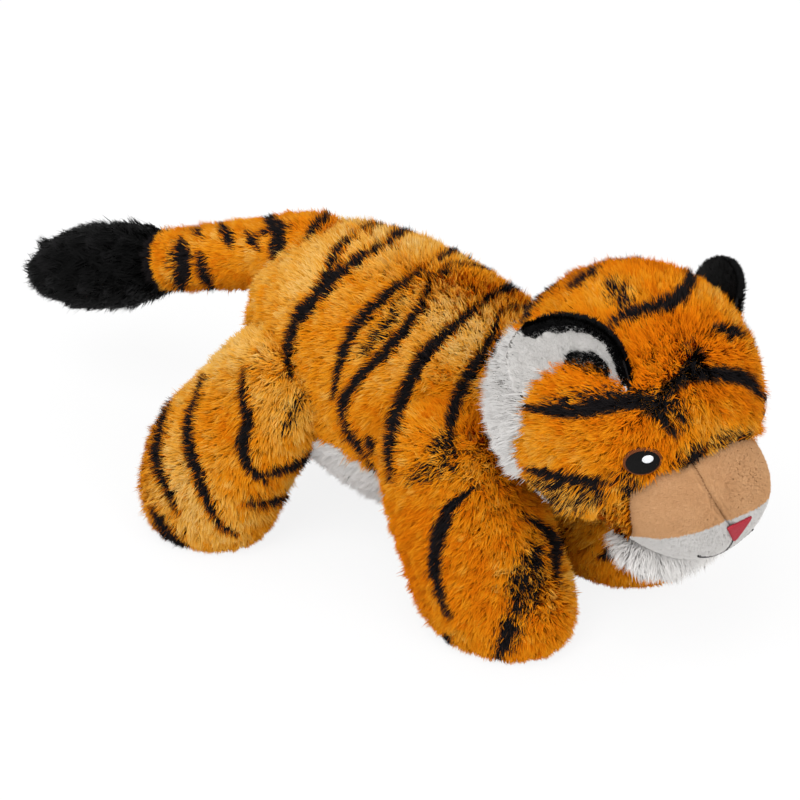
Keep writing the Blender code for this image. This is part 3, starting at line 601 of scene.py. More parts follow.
def blades(name, grown, tone, finish, width=0.00070, calm=0.25):
    """Meshes grown blades, three faces to each, with their tone and height as the UV map."""
    count, dice = len(grown.roots), grown.dice
    spread = grown.sideways * (width / 2) * dice.uniform(0.7, 1.3, count)[:, None]
    corners = np.stack([grown.roots - spread, grown.roots + spread, grown.middle - 0.8 * spread,
                        grown.middle + 0.8 * spread, grown.end], 1)
    corners[..., 2] = np.maximum(corners[..., 2], 0.0002)
    base = np.arange(count)[:, None] * 5
    made = mesh_of(name, corners.reshape(-1, 3), [base + (0, 1, 3, 2), base + (2, 3, 4)])
    tone = np.clip(np.broadcast_to(tone, count), 0.01, 0.99)
    low, high = dice.uniform(0.0, 0.12, count), dice.uniform(0.74, 1.0, count)
    left, right, centre = tone - 0.006, tone + 0.006, 0.5 * low + 0.5 * high
    quad = np.stack([left, low, right, low, right, centre, left, centre], -1)
    point = np.stack([left, centre, right, centre, tone, high], -1)
    layer = made.data.uv_layers.new(name="OFBake")
    layer.data.foreach_set("uv", np.concatenate([quad.ravel(), point.ravel()]).astype(np.float32))
    along = grown.end - grown.roots
    broad = unit(np.cross(grown.sideways, along), 1e-9)
    broad *= np.sign((broad * grown.facing).sum(-1, keepdims=True) + 1e-9)
    shaken = 0.22 * grown.sway + 0.16 * dice.normal(size=(count, 3))
    soft = (0.75 + 0.6 * calm) * grown.facing + (1 - calm) * (0.40 * broad + shaken)
    side = 0.3 * grown.sideways
    left_normal, right_normal = soft - side, soft + side
    normals = np.stack([left_normal, right_normal, left_normal, right_normal, soft], 1).reshape(-1, 3)
    made.data.normals_split_custom_set_from_vertices(unit(normals).astype(np.float32))
    made.data.materials.append(finish)
    return made


# %% [markdown]
# ## Stripes
#
# A stripe is a few points down its middle, in pixels of the photograph, and its width there. A blade
# asks how far its middle lies from each stripe. The far side of the toy is printed as the mirror of
# the near side, so its blades ask from their mirrored place.

# %% Stripe drawings
flank_stripes = (
    (11, (355, 232), (339, 245), (324, 274), (311, 302), (300, 322)),
    (12, (416, 229), (382, 243), (347, 264), (324, 287), (307, 302), (295, 318), (288, 343), (286, 360),
      (292, 380)),
    (12, (424, 266), (393, 287), (366, 312), (349, 335), (338, 364), (332, 398)),
    (11, (429, 272), (424, 295), (406, 325), (385, 350), (362, 373), (345, 396), (341, 413), (344, 440)),
    (14, (488, 296), (466, 314), (439, 337), (418, 362), (405, 390), (393, 419), (387, 452), (389, 480)),
    (13, (500, 310), (487, 343), (475, 362), (460, 390), (450, 419), (449, 440)),
    (8, (500, 330), (496, 352), (492, 372)),
    (10, (437, 273), (456, 264), (476, 258)),
    (10, (470, 285), (484, 280), (502, 273)),
    (10, (350, 222), (360, 217), (374, 214)),
    (8, (343, 426), (356, 446), (373, 472)),
    (7, (366, 436), (372, 454)),
)
# Black-tipped patches. The first runs along the crease where the rear leg meets the flank, partly the
# print's black tips and partly painted shade; the third is painted shade in the crease by the front leg.
flank_tips = (
    (10, (302, 396), (292, 416), (286, 434)),
    (22, (441, 436), (440, 450), (430, 466)),
    (16, (410, 480), (428, 472), (452, 470)),
    (12, (400, 300), (380, 330), (362, 352)),
)
rear_leg_stripes = (
    (11, (169, 397), (160, 423), (155, 449), (155, 466), (163, 487), (176, 515)),
    (12, (202, 376), (189, 411), (186, 430), (189, 453), (196, 475), (206, 502), (218, 525), (236, 536)),
    (12, (241, 370), (241, 403), (247, 420), (242, 441), (244, 460), (250, 472), (266, 484)),
    (10, (262, 477), (288, 470), (304, 463), (315, 450)),
    (10, (244, 505), (270, 505), (290, 497)),
    (12, (150, 508), (166, 535), (186, 550)),
)
front_leg_stripes = (
    (13, (473, 489), (448, 510), (438, 535), (434, 556), (435, 585), (447, 616)),
    (12, (528, 520), (545, 528), (557, 544), (557, 563), (561, 582)),
    (10, (514, 630), (506, 644), (497, 657)),
    (10, (444, 636), (448, 648)),
    (10, (596, 560), (612, 554), (629, 549)),
)
front_leg_tips = (
    (32, (538, 550), (530, 575), (524, 600), (522, 612)),
    (22, (514, 610), (509, 635), (500, 658)),
    (14, (454, 505), (442, 525), (436, 545)),
)
tail_stripes = (
    (15, (180, 240), (182, 262), (181, 294)),
    (11, (196, 250), (202, 274), (215, 297)),
    (9, (193, 229), (200, 234)),
    (11, (220, 222), (225, 234), (230, 246)),
    (10, (246, 231), (251, 240), (257, 249)),
    (11, (265, 208), (269, 220), (273, 232)),
    (8, (256, 233), (272, 229), (290, 225)),
    (15, (279, 222), (276, 250), (279, 280)),
    (10, (304, 240), (315, 223), (328, 213)),
)
tail_tips = (
    (18, (176, 246), (176, 266), (178, 288)),
)
head_stripes = (
    (15, (522, 407), (565, 412), (603, 406), (637, 402), (656, 415), (676, 436)),
    (17, (668, 391), (689, 374), (704, 351)),
    (14, (664, 386), (708, 375), (746, 379), (764, 398)),
    (14, (610, 320), (646, 306), (675, 298), (689, 282), (694, 264)),
    (9, (568, 285), (583, 276), (597, 266)),
    (9, (522, 322), (535, 293), (553, 284)),
    (11, (717, 325), (731, 329), (746, 334)),
    (11, (525, 470), (548, 475), (575, 481), (612, 485)),
    (9, (687, 468), (697, 458), (708, 448)),
    (8, (608, 533), (624, 542)),
)
head_tips = (
    (34, (530, 486), (560, 498), (596, 498)),
    (22, (616, 476), (628, 486), (640, 492)),
    (24, (640, 396), (664, 404), (684, 424)),
    (24, (612, 282), (620, 294), (624, 308)),
    (20, (690, 346), (700, 362), (708, 376)),
    (18, (682, 470), (690, 458), (704, 450)),
    (12, (708, 448), (722, 441), (740, 434)),
    (14, (604, 530), (616, 540), (628, 544)),
    (16, (545, 404), (590, 398), (630, 392)),
)

stripe_fullness = 1.12


def stripe_mask(pixels, stripes, softness=3.0):
    """1 on a stripe's middle line, falling to 0 over a few pixels at its edge and at its ends."""
    mask = np.zeros(len(pixels))
    for width, *points in stripes:
        path = follow(points, np.linspace(0, 1, 4 * len(points)))
        low, high = path.min(0) - width, path.max(0) + width
        near = np.flatnonzero(((pixels > low) & (pixels < high)).all(-1))
        start, run = path[:-1], np.diff(path, axis=0)
        offset = pixels[near][:, None] - start
        part = np.clip((offset * run).sum(-1) / (run ** 2).sum(-1), 0, 1)
        distance = np.linalg.norm(offset - part[..., None] * run, axis=-1)
        nearest = distance.argmin(1)
        rows = np.arange(len(near))
        share = (nearest + part[rows, nearest]) / len(run)
        half = stripe_fullness * width / 2 * np.sin(math.pi * np.clip(share, 0.05, 0.95)) ** 0.4
        value = np.clip((half - distance[rows, nearest]) / softness + 0.5, 0, 1)
        mask[near] = np.maximum(mask[near], value)
    return mask


def printed(grown, points, stripes, tipped, seed, base=0.36):
    """A blade's tone: orange that drifts, black on a stripe, and black tips here and there in a patch."""
    dice = np.random.default_rng(seed)
    drift = 0.15 * waves(grown.roots, 0.014, 5) + 0.05 * waves(grown.roots, 0.005, 6)
    orange = base + drift + 0.07 * grown.tuft + dice.normal(0, 0.035, len(points))
    ragged = to_pixels(points) + 1.5 * dice.normal(size=(len(points), 2))
    mask = stripe_mask(ragged, stripes, 4.0)
    chance = 0.74 * stripe_mask(ragged, tipped, 11.0) * (1 + 0.3 * grown.tuft)
    mask = np.maximum(mask, dice.uniform(size=len(points)) < chance)
    ink_tone = np.clip(dice.normal(0.93, 0.04, len(points)), 0.84, 0.99)
    return np.clip(orange, 0.02, 0.62) * (1 - mask) + mask * ink_tone


def mirrored(points, place):
    """Points carried to the near side of a form's middle plane."""
    local = in_frame(place, points)
    local[..., 1] = -np.abs(local[..., 1])
    return placed(place, local)


# %% [markdown]
# ## Body
#
# Two orange flank panels meet on the back, and a white oval panel closes the belly. The pile is combed
# from the neck to the tail and down the sides.

# %% Body skin and pile
pile_depth, hidden_depth = 0.0074, -0.0086
fur_length, belly_fur_length = 0.0088, 0.0102
belly_half_width, belly_length = 0.047, 0.152
sides = {"right": -1, "left": 1}
coats = {"orange_fur": (orange_pile, 0.25), "white_fur": (white_pile, 0.6), "black_fur": (black_pile, 0.25),
         "white_plush": (white_nap, 0.8), "tan_plush": (tan_pile, 0.8), "black_plush": (black_pile, 0.8)}


def dress(made, body, nodes=(), slot=None):
    """Ties a piece to its body and hides the nodes it stands for. Its slot is not used."""
    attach(made, body)
    if nodes:
        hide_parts(*nodes)


def skin_piece(name, surface, finish, body, nodes=(), slot=None, rows=72, columns=64):
    """A closed stuffed skin."""
    made = closed_skin(name, surface, rows, columns)
    made.data.materials.append(skin_finishes[finish])
    dress(made, body, nodes, slot)


def roots_on(surface, per_square_mm, seed, buried=None):
    """Roots and their normals, without the roots that a rule finds buried in another form."""
    along, around = scatter(surface, per_square_mm, seed)
    roots, facing = surface(along, around), normals_at(surface, along, around)
    kept = ~buried(roots, facing) if buried else slice(None)
    return roots[kept], facing[kept]


def swirl(roots, size, seed):
    """Three waves side by side, as a direction that drifts over a surface."""
    return np.stack([waves(roots, size, seed + k) for k in range(3)], -1)


def fluffy(grown):
    """The tone of plain pile, a little different from tuft to tuft."""
    return 0.5 + 0.2 * grown.tuft


def wear(name, grown, tone, slot, body, *nodes, width=0.0007, chosen=slice(None)):
    """Meshes the chosen blades as one coat and ties it to its body."""
    finish, calm = coats[slot]
    grown = SimpleNamespace(**{key: value if key == "dice" else value[chosen]
                               for key, value in vars(grown).items()})
    dress(blades(name, grown, tone[chosen], finish, width, calm), body, nodes, slot)
    print(name, len(grown.roots), "blades")


def in_head_or_leg(roots, facing):
    """True for roots of the body that the head or a leg hides."""
    return inside_egg(head_form, roots, -0.010) | np.any(
        [inside_leg(form, roots, hidden_depth) for form in leg_forms.values()], axis=0)


skin_piece("body_skin", egg(body_form, pile_depth), "orange", "body", ("torso_stuffing",), "stuffing")
roots, facing = roots_on(egg(body_form, pile_depth), 2.85, 11, in_head_or_leg)
x, y, z = (roots - body_origin).T
belly = ((x / (belly_length / 2)) ** 2 + (y / belly_half_width) ** 2 < 1) & (z < body_form.middle)
body_comb = np.array((-1.0, 0.0, -0.45))
for word, side in sides.items():
    chosen = ~belly & (y * side >= 0)
    here = roots[chosen]
    grown = grow(here, facing[chosen], body_comb + 0.7 * swirl(here, 0.03, 2), fur_length, 31 + side)
    # Painted highlight: the pile is paler towards the top of the back, where the light falls from above.
    pale = 0.42 - 0.26 * step_between(0.09, 0.165, here[:, 2])
    tone = printed(grown, mirrored(grown.print, body_place), flank_stripes, flank_tips, 21 + side, pale)
    wear(f"flank_pile_{word}", grown, tone, "orange_fur", "body", f"flank_panel_{word}")
grown = grow(roots[belly], facing[belly], body_comb, belly_fur_length, 42)
wear("belly_pile", grown, fluffy(grown), "white_fur", "body", "belly_panel")

# %% [markdown]
# ## Legs
#
# Each leg is a soft column that widens to a paw. Its pile is combed down, and its sole is a tan disc.

# %% Leg skins and pile
leg_pile_length = 0.0084
for number, (name, form) in enumerate(leg_forms.items()):
    surface, body_name = leg(form, pile_depth), f"{name}_leg"
    skin_piece(f"{name}_skin", surface, "orange", body_name, (f"{name}_leg_stuffing",), "stuffing")
    roots, facing = roots_on(surface, 2.65, 51 + number, lambda roots, facing: (
        inside_egg(body_form, roots, hidden_depth) | (facing[:, 2] < -0.85)))
    shorter = 1 - 0.35 * step_between(0.02, 0.0, roots[:, 2])
    downward = np.stack([-0.9 * facing[:, 2].clip(0, 1), 0 * roots[:, 0], -1 + 0 * roots[:, 0]], -1)
    grown = grow(roots, facing, downward + 0.5 * swirl(roots, 0.025, 7), leg_pile_length * shorter,
                 71 + number)
    near = seen = grown.print
    if name.endswith("left"):
        twin = leg_forms[name.replace("left", "right")]
        lower = np.clip(1 - near[:, 2] / form.joint[2], 0, 1)[:, None] ** 1.2
        change = np.array((twin.reach - form.reach, twin.spread + form.spread, 0.0))
        seen = twin.joint + (near - form.joint) * (1, -1, 1) + lower * change
    if name == "front_left":
        inner = near[:, 1] < form.joint[1] + form.spread
        seen = np.where(inner[:, None], near, seen)
    stripes, tipped, pale = ((front_leg_stripes, front_leg_tips, 0.48) if name.startswith("front") else
                             (rear_leg_stripes, (), 0.34))
    # Painted highlight: a little paler towards the top of each leg.
    pale = pale - 0.03 * step_between(0.06, 0.11, roots[:, 2])
    # Painted light: paler where the leg meets the body, to lift the shade of the crease.
    pale -= 0.03 * inside_egg(body_form, roots, 0.008) + 0.02 * inside_egg(body_form, roots, 0.016)
    tone = printed(grown, seen, stripes + flank_stripes, tipped + flank_tips, 61 + number, pale)
    wear(f"{name}_pile", grown, tone, "orange_fur", body_name, f"{name}_leg_cover")

# %% Paw soles
tan_sole = speckled("tan_sole", (0.56, 0.30, 0.14), (0.70, 0.42, 0.22), 500, roughness=0.85, sheen=0.2,
                    bump_rule=lambda tree: noise(tree, 2500), bump_depth=0.0002)
for name in leg_forms:
    low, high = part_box(f"{name}_paw_sole")
    centre, half = (np.array(low) + high) / 2, (np.array(high) - low) / 2

    def cushion(along, around):
        """A flat disc whose edge is rounded like a pressed cushion."""
        angle, out = 2 * math.pi * around, np.sin(math.pi * along) ** 0.35
        return centre + np.stack([half[0] * out * np.cos(angle), half[1] * out * np.sin(angle),
                                  -half[2] * np.cos(math.pi * along)], -1)

    made = closed_skin(f"{name}_sole", cushion, 24, 48)
    made.data.materials.append(tan_sole)
    dress(made, f"{name}_leg", (f"{name}_paw_sole",), "tan_plush")

# %% [markdown]
# ## Tail
#
# A striped sleeve with long black pile at its end, whose blades are nearly twice as long.

# %% Tail sleeve and tip
sleeve_depth, tip_depth = 0.0058, 0.009
sleeve_end, black_from, black_tone = 0.102, 0.0985, 0.97


def down_tail(points):
    """How far from the tail's root points lie, along it."""
    return (points - tail_root) @ tail_direction


skin_piece("sleeve_skin", sleeve(sleeve_depth), "orange", "tail", ("tail_stuffing",), "stuffing")
roots, facing = roots_on(sleeve(sleeve_depth), 3.0, 81, lambda roots, facing: (
    inside_egg(body_form, roots, -0.006) | (down_tail(roots) > sleeve_end)))
grown = grow(roots, facing, tail_direction, 0.0078, 83, (20, 46))
tone = printed(grown, grown.print, tail_stripes, tail_tips, 82, 0.46)
tone = np.where(down_tail(grown.print) > black_from, black_tone, tone)
wear("sleeve_pile", grown, tone, "orange_fur", "tail", "tail_sleeve")
skin_piece("tip_skin", tip(tip_depth), "black", "tail_tip", ("tail_tip_stuffing",), "stuffing")
roots, facing = roots_on(tip(tip_depth), 2.8, 84)
backward_lean = np.minimum((facing @ tail_direction)[:, None], 0) * tail_direction
facing = unit(facing - backward_lean + 0.25 * tail_direction)
grown = grow(roots, facing, tail_direction, 0.0145, 86, (30, 58), 0.0070, 0.72, 0.55)
# Tufts of lower tone get the grey tips, a painted highlight.
wear("tip_pile", grown, 0.55 + 0.30 * grown.tuft, "black_fur", "tail_tip", "tail_tip_cover",
     width=0.0008)

# %% [markdown]
# ## Head
#
# The face is two orange side panels and a crown gusset. White pile, longer than the rest, makes the
# ruff behind each cheek, the throat and the beard under the muzzle.

# %% Head skin and pile
eye_half_width, eye_half_height = 0.0090, 0.0072
eye_places = {word: head_place @ turn(2, side * math.radians(39)) @ turn(1, -math.radians(8.5))
              @ turn(0, side * math.radians(-14)) for word, side in sides.items()}
gusset_half_width, gusset_taper = 0.026, math.tan(math.radians(9))
chin_depth, ruff_setback, ruff_top = 0.036, 0.016, 0.006
skin_piece("head_skin", egg(head_form, pile_depth), "orange", "head", ("head_stuffing",), "stuffing")
roots, facing = roots_on(egg(head_form, pile_depth), 3.3, 91, lambda roots, facing: (
    inside_egg(muzzle_form, roots, -0.0005) | inside_egg(chin_form, roots, -0.006)))
x, y, z = in_frame(head_place, roots).T
wobble = 0.002 * waves(roots, 0.006, 9)
aside = np.abs(y)
below_jowl = step_between(0.006, 0.020, aside) * step_between(0.004, 0.014, x)
chin = z < -chin_depth - 0.018 * below_jowl + wobble
gusset = (aside < gusset_half_width - x * gusset_taper) & (z > 0)
ruff_front = -ruff_setback + 0.008 * step_between(0.030, 0.044, aside)
ruff_height = ruff_top + 0.030 * step_between(0.024, 0.050, aside)
ruff = (x < ruff_front + wobble) & (z < ruff_height + wobble) & ~chin
gusset &= ~ruff
by_muzzle = inside_egg(muzzle_form, roots, 0.005)
jowl = step_between(0.004, -0.022, z) * step_between(0.005, 0.025, x)
brow = step_between(0.022, 0.044, x) * step_between(-0.004, 0.010, z)
head_comb = turned(head_place, np.stack([
    np.where(by_muzzle, 0.2, -1.0) + 1.5 * brow,
    0.25 * np.sign(y) + 8 * y * (x > 0.03),
    np.where(z > 0.0, 0.15 - 0.75 * brow, -0.8 - 1.2 * jowl)], -1))
head_comb += 0.45 * swirl(roots, 0.018, 12)
length = 0.0078 + 0.0006 * step_between(0.045, 0.0, x) + 0.0056 * jowl
length = np.where(by_muzzle, 0.0080, length)
near_eye = np.zeros(len(roots), bool)
for word in sides:
    offset = in_frame(eye_places[word], roots + pile_depth * facing)
    spot = (offset[:, 1] / eye_half_width) ** 2 + (offset[:, 2] / eye_half_height) ** 2
    ahead = offset[:, 0] > 0
    near_eye |= (spot < 0.86) & ahead
    length = np.where((spot < 1.6) & ahead, 0.0072, length)
    if word == "left":
        length = np.where((spot > 0.8) & (spot < 4) & (offset[:, 1] < 0) & ahead, 0.0108, length)
white = chin | ruff
length = np.where(white, 0.0108 + 0.0036 * step_between(0.014, -0.004, z), length)
grown = grow(roots, facing, head_comb, np.where(chin, 0.0088, length), 92)
to_camera = (facing @ backward) > 0.12
seen = np.where((to_camera | (y < 0))[:, None], grown.print,
                mirrored(grown.print, head_place))
# Painted light: paler towards the front of the head, round the brow and the muzzle's edge, to lift the
# shade that falls there.
pale = 0.53 - 0.16 * step_between(0.040, 0.054, x)
tone = np.where(white, fluffy(grown), printed(grown, seen, head_stripes, head_tips, 93, pale))
regions = {"crown_gusset": gusset, "chin_panel": chin}
for word, side in sides.items():
    regions[f"face_panel_{word}"] = ~gusset & ~white & (y * side >= 0)
    regions[f"ruff_{word}"] = ruff & (y * side >= 0)
for node, chosen in regions.items():
    slot = "white_fur" if white[chosen].all() else "orange_fur"
    wear(f"{node}_pile", grown, tone, slot, "head", node, chosen=chosen & ~near_eye)

# %% Beard under the muzzle
beard_surface = egg(chin_form, 0.008)
skin_piece("beard_skin", beard_surface, "white", "head")
roots, facing = roots_on(beard_surface, 3.0, 111)
down = turned(head_place, np.array((0.35, 0.0, -1.0)))
grown = grow(roots, facing, down, 0.0120, 113, (20, 48), 0.005, 0.5)
wear("beard_pile", grown, fluffy(grown), "white_fur", "head", "chin_tuft")

# %% [markdown]
# ## Muzzle
#
# Short velvety pile over two puffed panels that meet in a seam, with a white lip panel below. The
# seam pulls a soft valley into the form.

# %% Muzzle skin and nap
lip_rise, lip_tilt = 0.007, math.tan(math.radians(35))
nap_depth = 0.0010
seam_side = -0.0145
fringe_bearings = np.radians((-90, -16, 5, 17, 25, 36, 42, 50, 62, 90))
fringe_edges = np.array((0.044, 0.051, 0.0495, 0.0472, 0.0476, 0.0507, 0.0523, 0.0572, 0.0595, 0.0595))


def seam_at(height):
    """How far the seam stands from the middle: it swings to the right above the nose."""
    return seam_side * step_between(-0.033, 0.0, height)


def muzzle(inset=0.0):
    """The muzzle's egg with a valley along its seam, deeper towards the front."""
    plain = egg(muzzle_form, inset)

    def surface(along, around):
        points = plain(along, around)
        local = in_frame(head_place, points)
        valley = np.exp(-((local[..., 1] - seam_at(local[..., 2])) / 0.0017) ** 2)
        above = step_between(-0.030, -0.012, local[..., 2])
        local[..., 0] -= 0.0028 * valley * above * step_between(0.02, 0.06, local[..., 0])
        local[..., 2] -= 0.0028 * valley * above * step_between(0.06, 0.02, local[..., 0])
        return placed(head_place, local)
    return surface


lip_reach = 0.079
lip_normal = turned(head_place, np.array((-lip_tilt, 0.0, 1.0)))
lip_level = lip_normal @ head_place[:3, 3] + muzzle_form.middle + lip_rise - lip_tilt * lip_reach


def muzzle_backing(tree):
    """White below the lip's plane and tan above it."""
    place = numbers_of(tree, "ShaderNodeTexCoord", "Object")
    above = sum((place[k] * float(lip_normal[k]) for k in range(3)), 0.0) - float(lip_level)
    tan = noise(tree, 400).pick((0.50, 0.27, 0.125), (0.57, 0.32, 0.155))
    return above.between(-0.0004, 0.0004).pick((0.58, 0.56, 0.54), tan)


skin_finishes["muzzle"] = finish_of("muzzle_backing", muzzle_backing)
skin_piece("muzzle_skin", muzzle(nap_depth), "muzzle", "head", rows=120, columns=160)
roots, facing = roots_on(muzzle(nap_depth), 7.0, 121, lambda roots, facing: (
    inside_egg(head_form, roots, -0.008) | inside_egg(chin_form, roots, -0.004)))
x, y, z = in_frame(head_place, roots).T
lip_line = muzzle_form.middle + lip_rise + lip_tilt * (x - lip_reach)
lip = z < lip_line + 0.0007 * waves(roots, 0.004, 16)
nap_comb = turned(head_place, np.array((-0.5, 0.0, -0.6)))
from_seam = y - seam_at(z)
off_seam = np.abs(from_seam)
grown = grow(roots, facing, nap_comb, np.where(off_seam < 0.0012, 0.0010, 0.0015), 122, (42, 62), 0.0012,
             0.15, 0.3)
tone = np.clip(0.60 + 0.10 * waves(roots, 0.0045, 15) + 0.07 * grown.tuft, 0.26, 0.98)
tone = np.where((off_seam < 0.00055) & ~lip, 0.04, tone)
bearing = np.arctan2(z - muzzle_form.middle, np.abs(y))
fringe_edge = np.interp(bearing, fringe_bearings, fringe_edges) - 0.0026 + 0.0012 * waves(roots, 0.004, 18)
cheek = (x < fringe_edge) & (z > -0.036)
for node, chosen, slot in (("muzzle_lower", lip, "white_plush"),
                           ("muzzle_top_right", ~lip & (from_seam < 0), "tan_plush"),
                           ("muzzle_top_left", ~lip & (from_seam >= 0), "tan_plush")):
    wear(f"{node}_nap", grown, tone, slot, "head", node, width=0.00044, chosen=chosen & ~cheek)

# %% Cheek fringe, which hides where the muzzle is sewn in
chosen = np.flatnonzero(cheek)[::2]
outwards = turned(head_place, np.stack([0.5 + 0 * chosen, 1.2 * np.sign(y[chosen]),
                                        -0.2 + 0 * chosen], -1))
grown = grow(roots[chosen], facing[chosen], outwards, 0.0060, 125)
seen = np.where((y[chosen] < 0)[:, None], grown.print, mirrored(grown.print, head_place))
# The base tone of 0.42 is a little paler, a painted light against the shade at the fringe's roots.
tone = printed(grown, seen, head_stripes, head_tips, 126, 0.42)
wear("cheek_fringe", grown, tone, "orange_fur", "head")

# %% [markdown]
# ## Ears
#
# Each ear is a cupped sheet, black behind and white in front, with a rim of black pile.

# %% Ears
ear_half_width, ear_height, ear_cup = 0.030, 0.035, 0.004
ear_span, ear_fullness = math.radians(84), 0.55
ear_stands = {"right": (0.005, 0.045, 0.0265, -4, 64, 28), "left": (-0.006, 0.049, 0.013, 14, 54, 48)}


def ear_frame(word, side):
    """The ear's own frame: x is where it faces, y runs across it and z up it."""
    forward, out, up, lean, aside, roll = ear_stands[word]
    made = (head_place @ shift(forward, side * out, up) @ turn(2, side * math.radians(aside))
            @ turn(1, math.radians(lean)) @ turn(0, -side * math.radians(roll)))
    print(word, "ear's hinge is off by", np.abs(made[:3, 3] - joint_at[f"ear_{word}_fold"]).max().round(5))
    return made


def ear_sheet(place, share, forward):
    """Half an oval that curls forward at its edges; along runs across it, around up it."""
    def surface(across, up):
        angle = (2 * across - 1) * ear_span
        reach = share * ear_half_width * np.sin(angle) / math.sin(ear_span)
        height = share * ear_height * up * np.cos(angle) ** ear_fullness
        cup = ear_cup * (reach / ear_half_width) ** 2 + forward
        return placed(place, np.stack([cup, reach, height], -1))
    return surface


def ear_shell(name, place, share, back, front, columns=40, rows=16):
    """Two sheets a wall apart, joined round their edge."""
    across, up = np.meshgrid(np.linspace(0, 1, columns), np.linspace(-0.25, 1, rows))
    sheets = [ear_sheet(place, share, forward)(across, up) for forward in (back, front)]
    points = np.concatenate([sheet.reshape(-1, 3) for sheet in sheets])
    index = np.arange(rows * columns).reshape(rows, columns)
    quads = np.stack([index[:-1, :-1], index[:-1, 1:], index[1:, 1:], index[1:, :-1]], -1).reshape(-1, 4)
    rim = np.concatenate([index[0, :-1], index[:-1, -1], index[-1, :0:-1], index[:0:-1, 0]])
    after = np.roll(rim, -1)
    wall = np.stack([rim, after, after + rows * columns, rim + rows * columns], -1)
    return turned_outwards(mesh_of(name, points, [quads[:, ::-1], quads + rows * columns, wall]))


back_side, front_edge, rim_blades = -0.0018, 0.0006, 2600
for number, (word, side) in enumerate(sides.items()):
    place = ear_frame(word, side)
    outward, upright = place[:3, 0], place[:3, 2]
    for part, share, back, front, finish in (("shell", 0.92, back_side, -0.0002, "black"),
                                             ("inside", 0.86, -0.0002, 0.0008, "white")):
        sheet = ear_shell(f"ear_{word}_{part}", place, share, back, front)
        sheet.data.materials.append(skin_finishes[finish])
        dress(sheet, f"ear_{word}")
    naps = []
    for forward, way, seed in ((back_side, -1, 131), (front_edge, 1, 132)):
        roots, facing = roots_on(ear_sheet(place, 0.94, forward), 6.0, seed + 10 * number)
        naps.append((roots, facing * np.sign(facing @ outward)[:, None] * way, np.full(len(roots), way)))
    dice = np.random.default_rng(151 + number)
    across = dice.uniform(0.02, 0.98, rim_blades)
    forward = dice.uniform(back_side, front_edge, rim_blades)
    roots = ear_sheet(place, 0.94, 0.0)(across, np.ones(rim_blades)) + forward[:, None] * outward
    facing = roots - placed(place, np.array((0.0, 0.0, 0.35 * ear_height)))
    facing -= (facing @ outward)[:, None] * outward
    naps.append((roots, unit(facing), np.zeros(rim_blades)))
    roots, facing, way = (np.concatenate(parts) for parts in zip(*naps))
    _, y, z = in_frame(place, roots).T
    bent = np.arcsin(np.clip(y / (0.97 * ear_half_width) * math.sin(ear_span), -1, 1))
    edge = z / (0.97 * ear_height * np.maximum(np.cos(bent), 0.02) ** ear_fullness)
    front_side = -side * y / ear_half_width
    ragged = 0.05 * waves(roots, 0.003, 17)
    inner = (way > 0) & (edge < 0.80 + ragged) & (front_side < 0.80 + ragged)
    inner |= ((way >= 0) & (front_side < -0.58 + ragged)) | (front_side < -0.84 + ragged)
    # Black pile fills the ear's hollow: partly the black backing that shows there and partly a painted
    # shade.
    cavity = ((edge - 0.22) / 0.32) ** 2 + ((front_side - 0.30) / 0.36) ** 2 < 1 + 3 * ragged
    inner &= ~cavity
    towards_rim = np.stack([y * 0, 0.6 * y / ear_half_width, np.ones(len(y))], -1)
    grown = grow(roots, facing, turned(place, towards_rim), np.where(inner, 0.0024, 0.0034), 134 + number,
                 (np.where(inner, 50, 24), np.where(inner, 70, 50)), 0.0018, 0.1, 0.25)
    for node, chosen, slot in (("ear_back", ~inner, "black_plush"), ("ear_lining", inner, "white_plush")):
        wear(f"{node}_{word}_nap", grown, fluffy(grown), slot, f"ear_{word}", f"{node}_{word}",
             width=0.0006, chosen=chosen)

# %% [markdown]
# ## Embroidery
#
# The eyes, nose and mouth are satin stitch: flat shining threads side by side, slightly domed.

# %% Thread finishes
def thread(name, dark, light, pitch=0.00055, roughness=0.5):
    """Satin stitch: fine parallel ridges across the patch, painted darker in the grooves between threads
    and lighter on their crests, over a faint noise.
    """
    def ridges(tree):
        along, across, _ = numbers_of(tree, "ShaderNodeUVMap", 0, {"uv_map": "stitch"})
        wander = (along * 2.0 + across * 0.7).math("SINE") * 0.12
        return ((across + wander * 0.1) * (2 * math.pi * 0.001 / pitch)).math("SINE") * 0.5 + 0.5

    def colour(tree):
        # Painted shade in the grooves and a painted highlight on the crests: the colour follows the ridges.
        return (ridges(tree) * 0.75 + noise(tree, 900) * 0.4).between(0.1, 1.0).pick(dark, light)

    return finish_of(name, colour, roughness=roughness, shine=0.08, bump_rule=ridges, bump_depth=0.00022)


threads = {
    "rim": thread("brown_thread", (0.070, 0.018, 0.005), (0.22, 0.066, 0.020)),
    "pupil": thread("black_thread", (0.0015, 0.0015, 0.0015), (0.009, 0.008, 0.008), roughness=0.65),
    "highlight": thread("white_thread", (0.60, 0.62, 0.65), (0.92, 0.93, 0.95)),
    "nose": thread("rose_thread", (0.22, 0.008, 0.018), (0.52, 0.050, 0.070)),
}


def cast(inside, start, direction, far=0.12):
    """The last place inside a form along each ray, by halving the step twenty-four times."""
    low, high = np.zeros(direction.shape[:-1]), np.full(direction.shape[:-1], far)
    for _ in range(24):
        middle = (low + high) / 2
        hit = inside(start + middle[..., None] * direction)
        low, high = np.where(hit, middle, low), np.where(hit, high, middle)
    return start + low[..., None] * direction


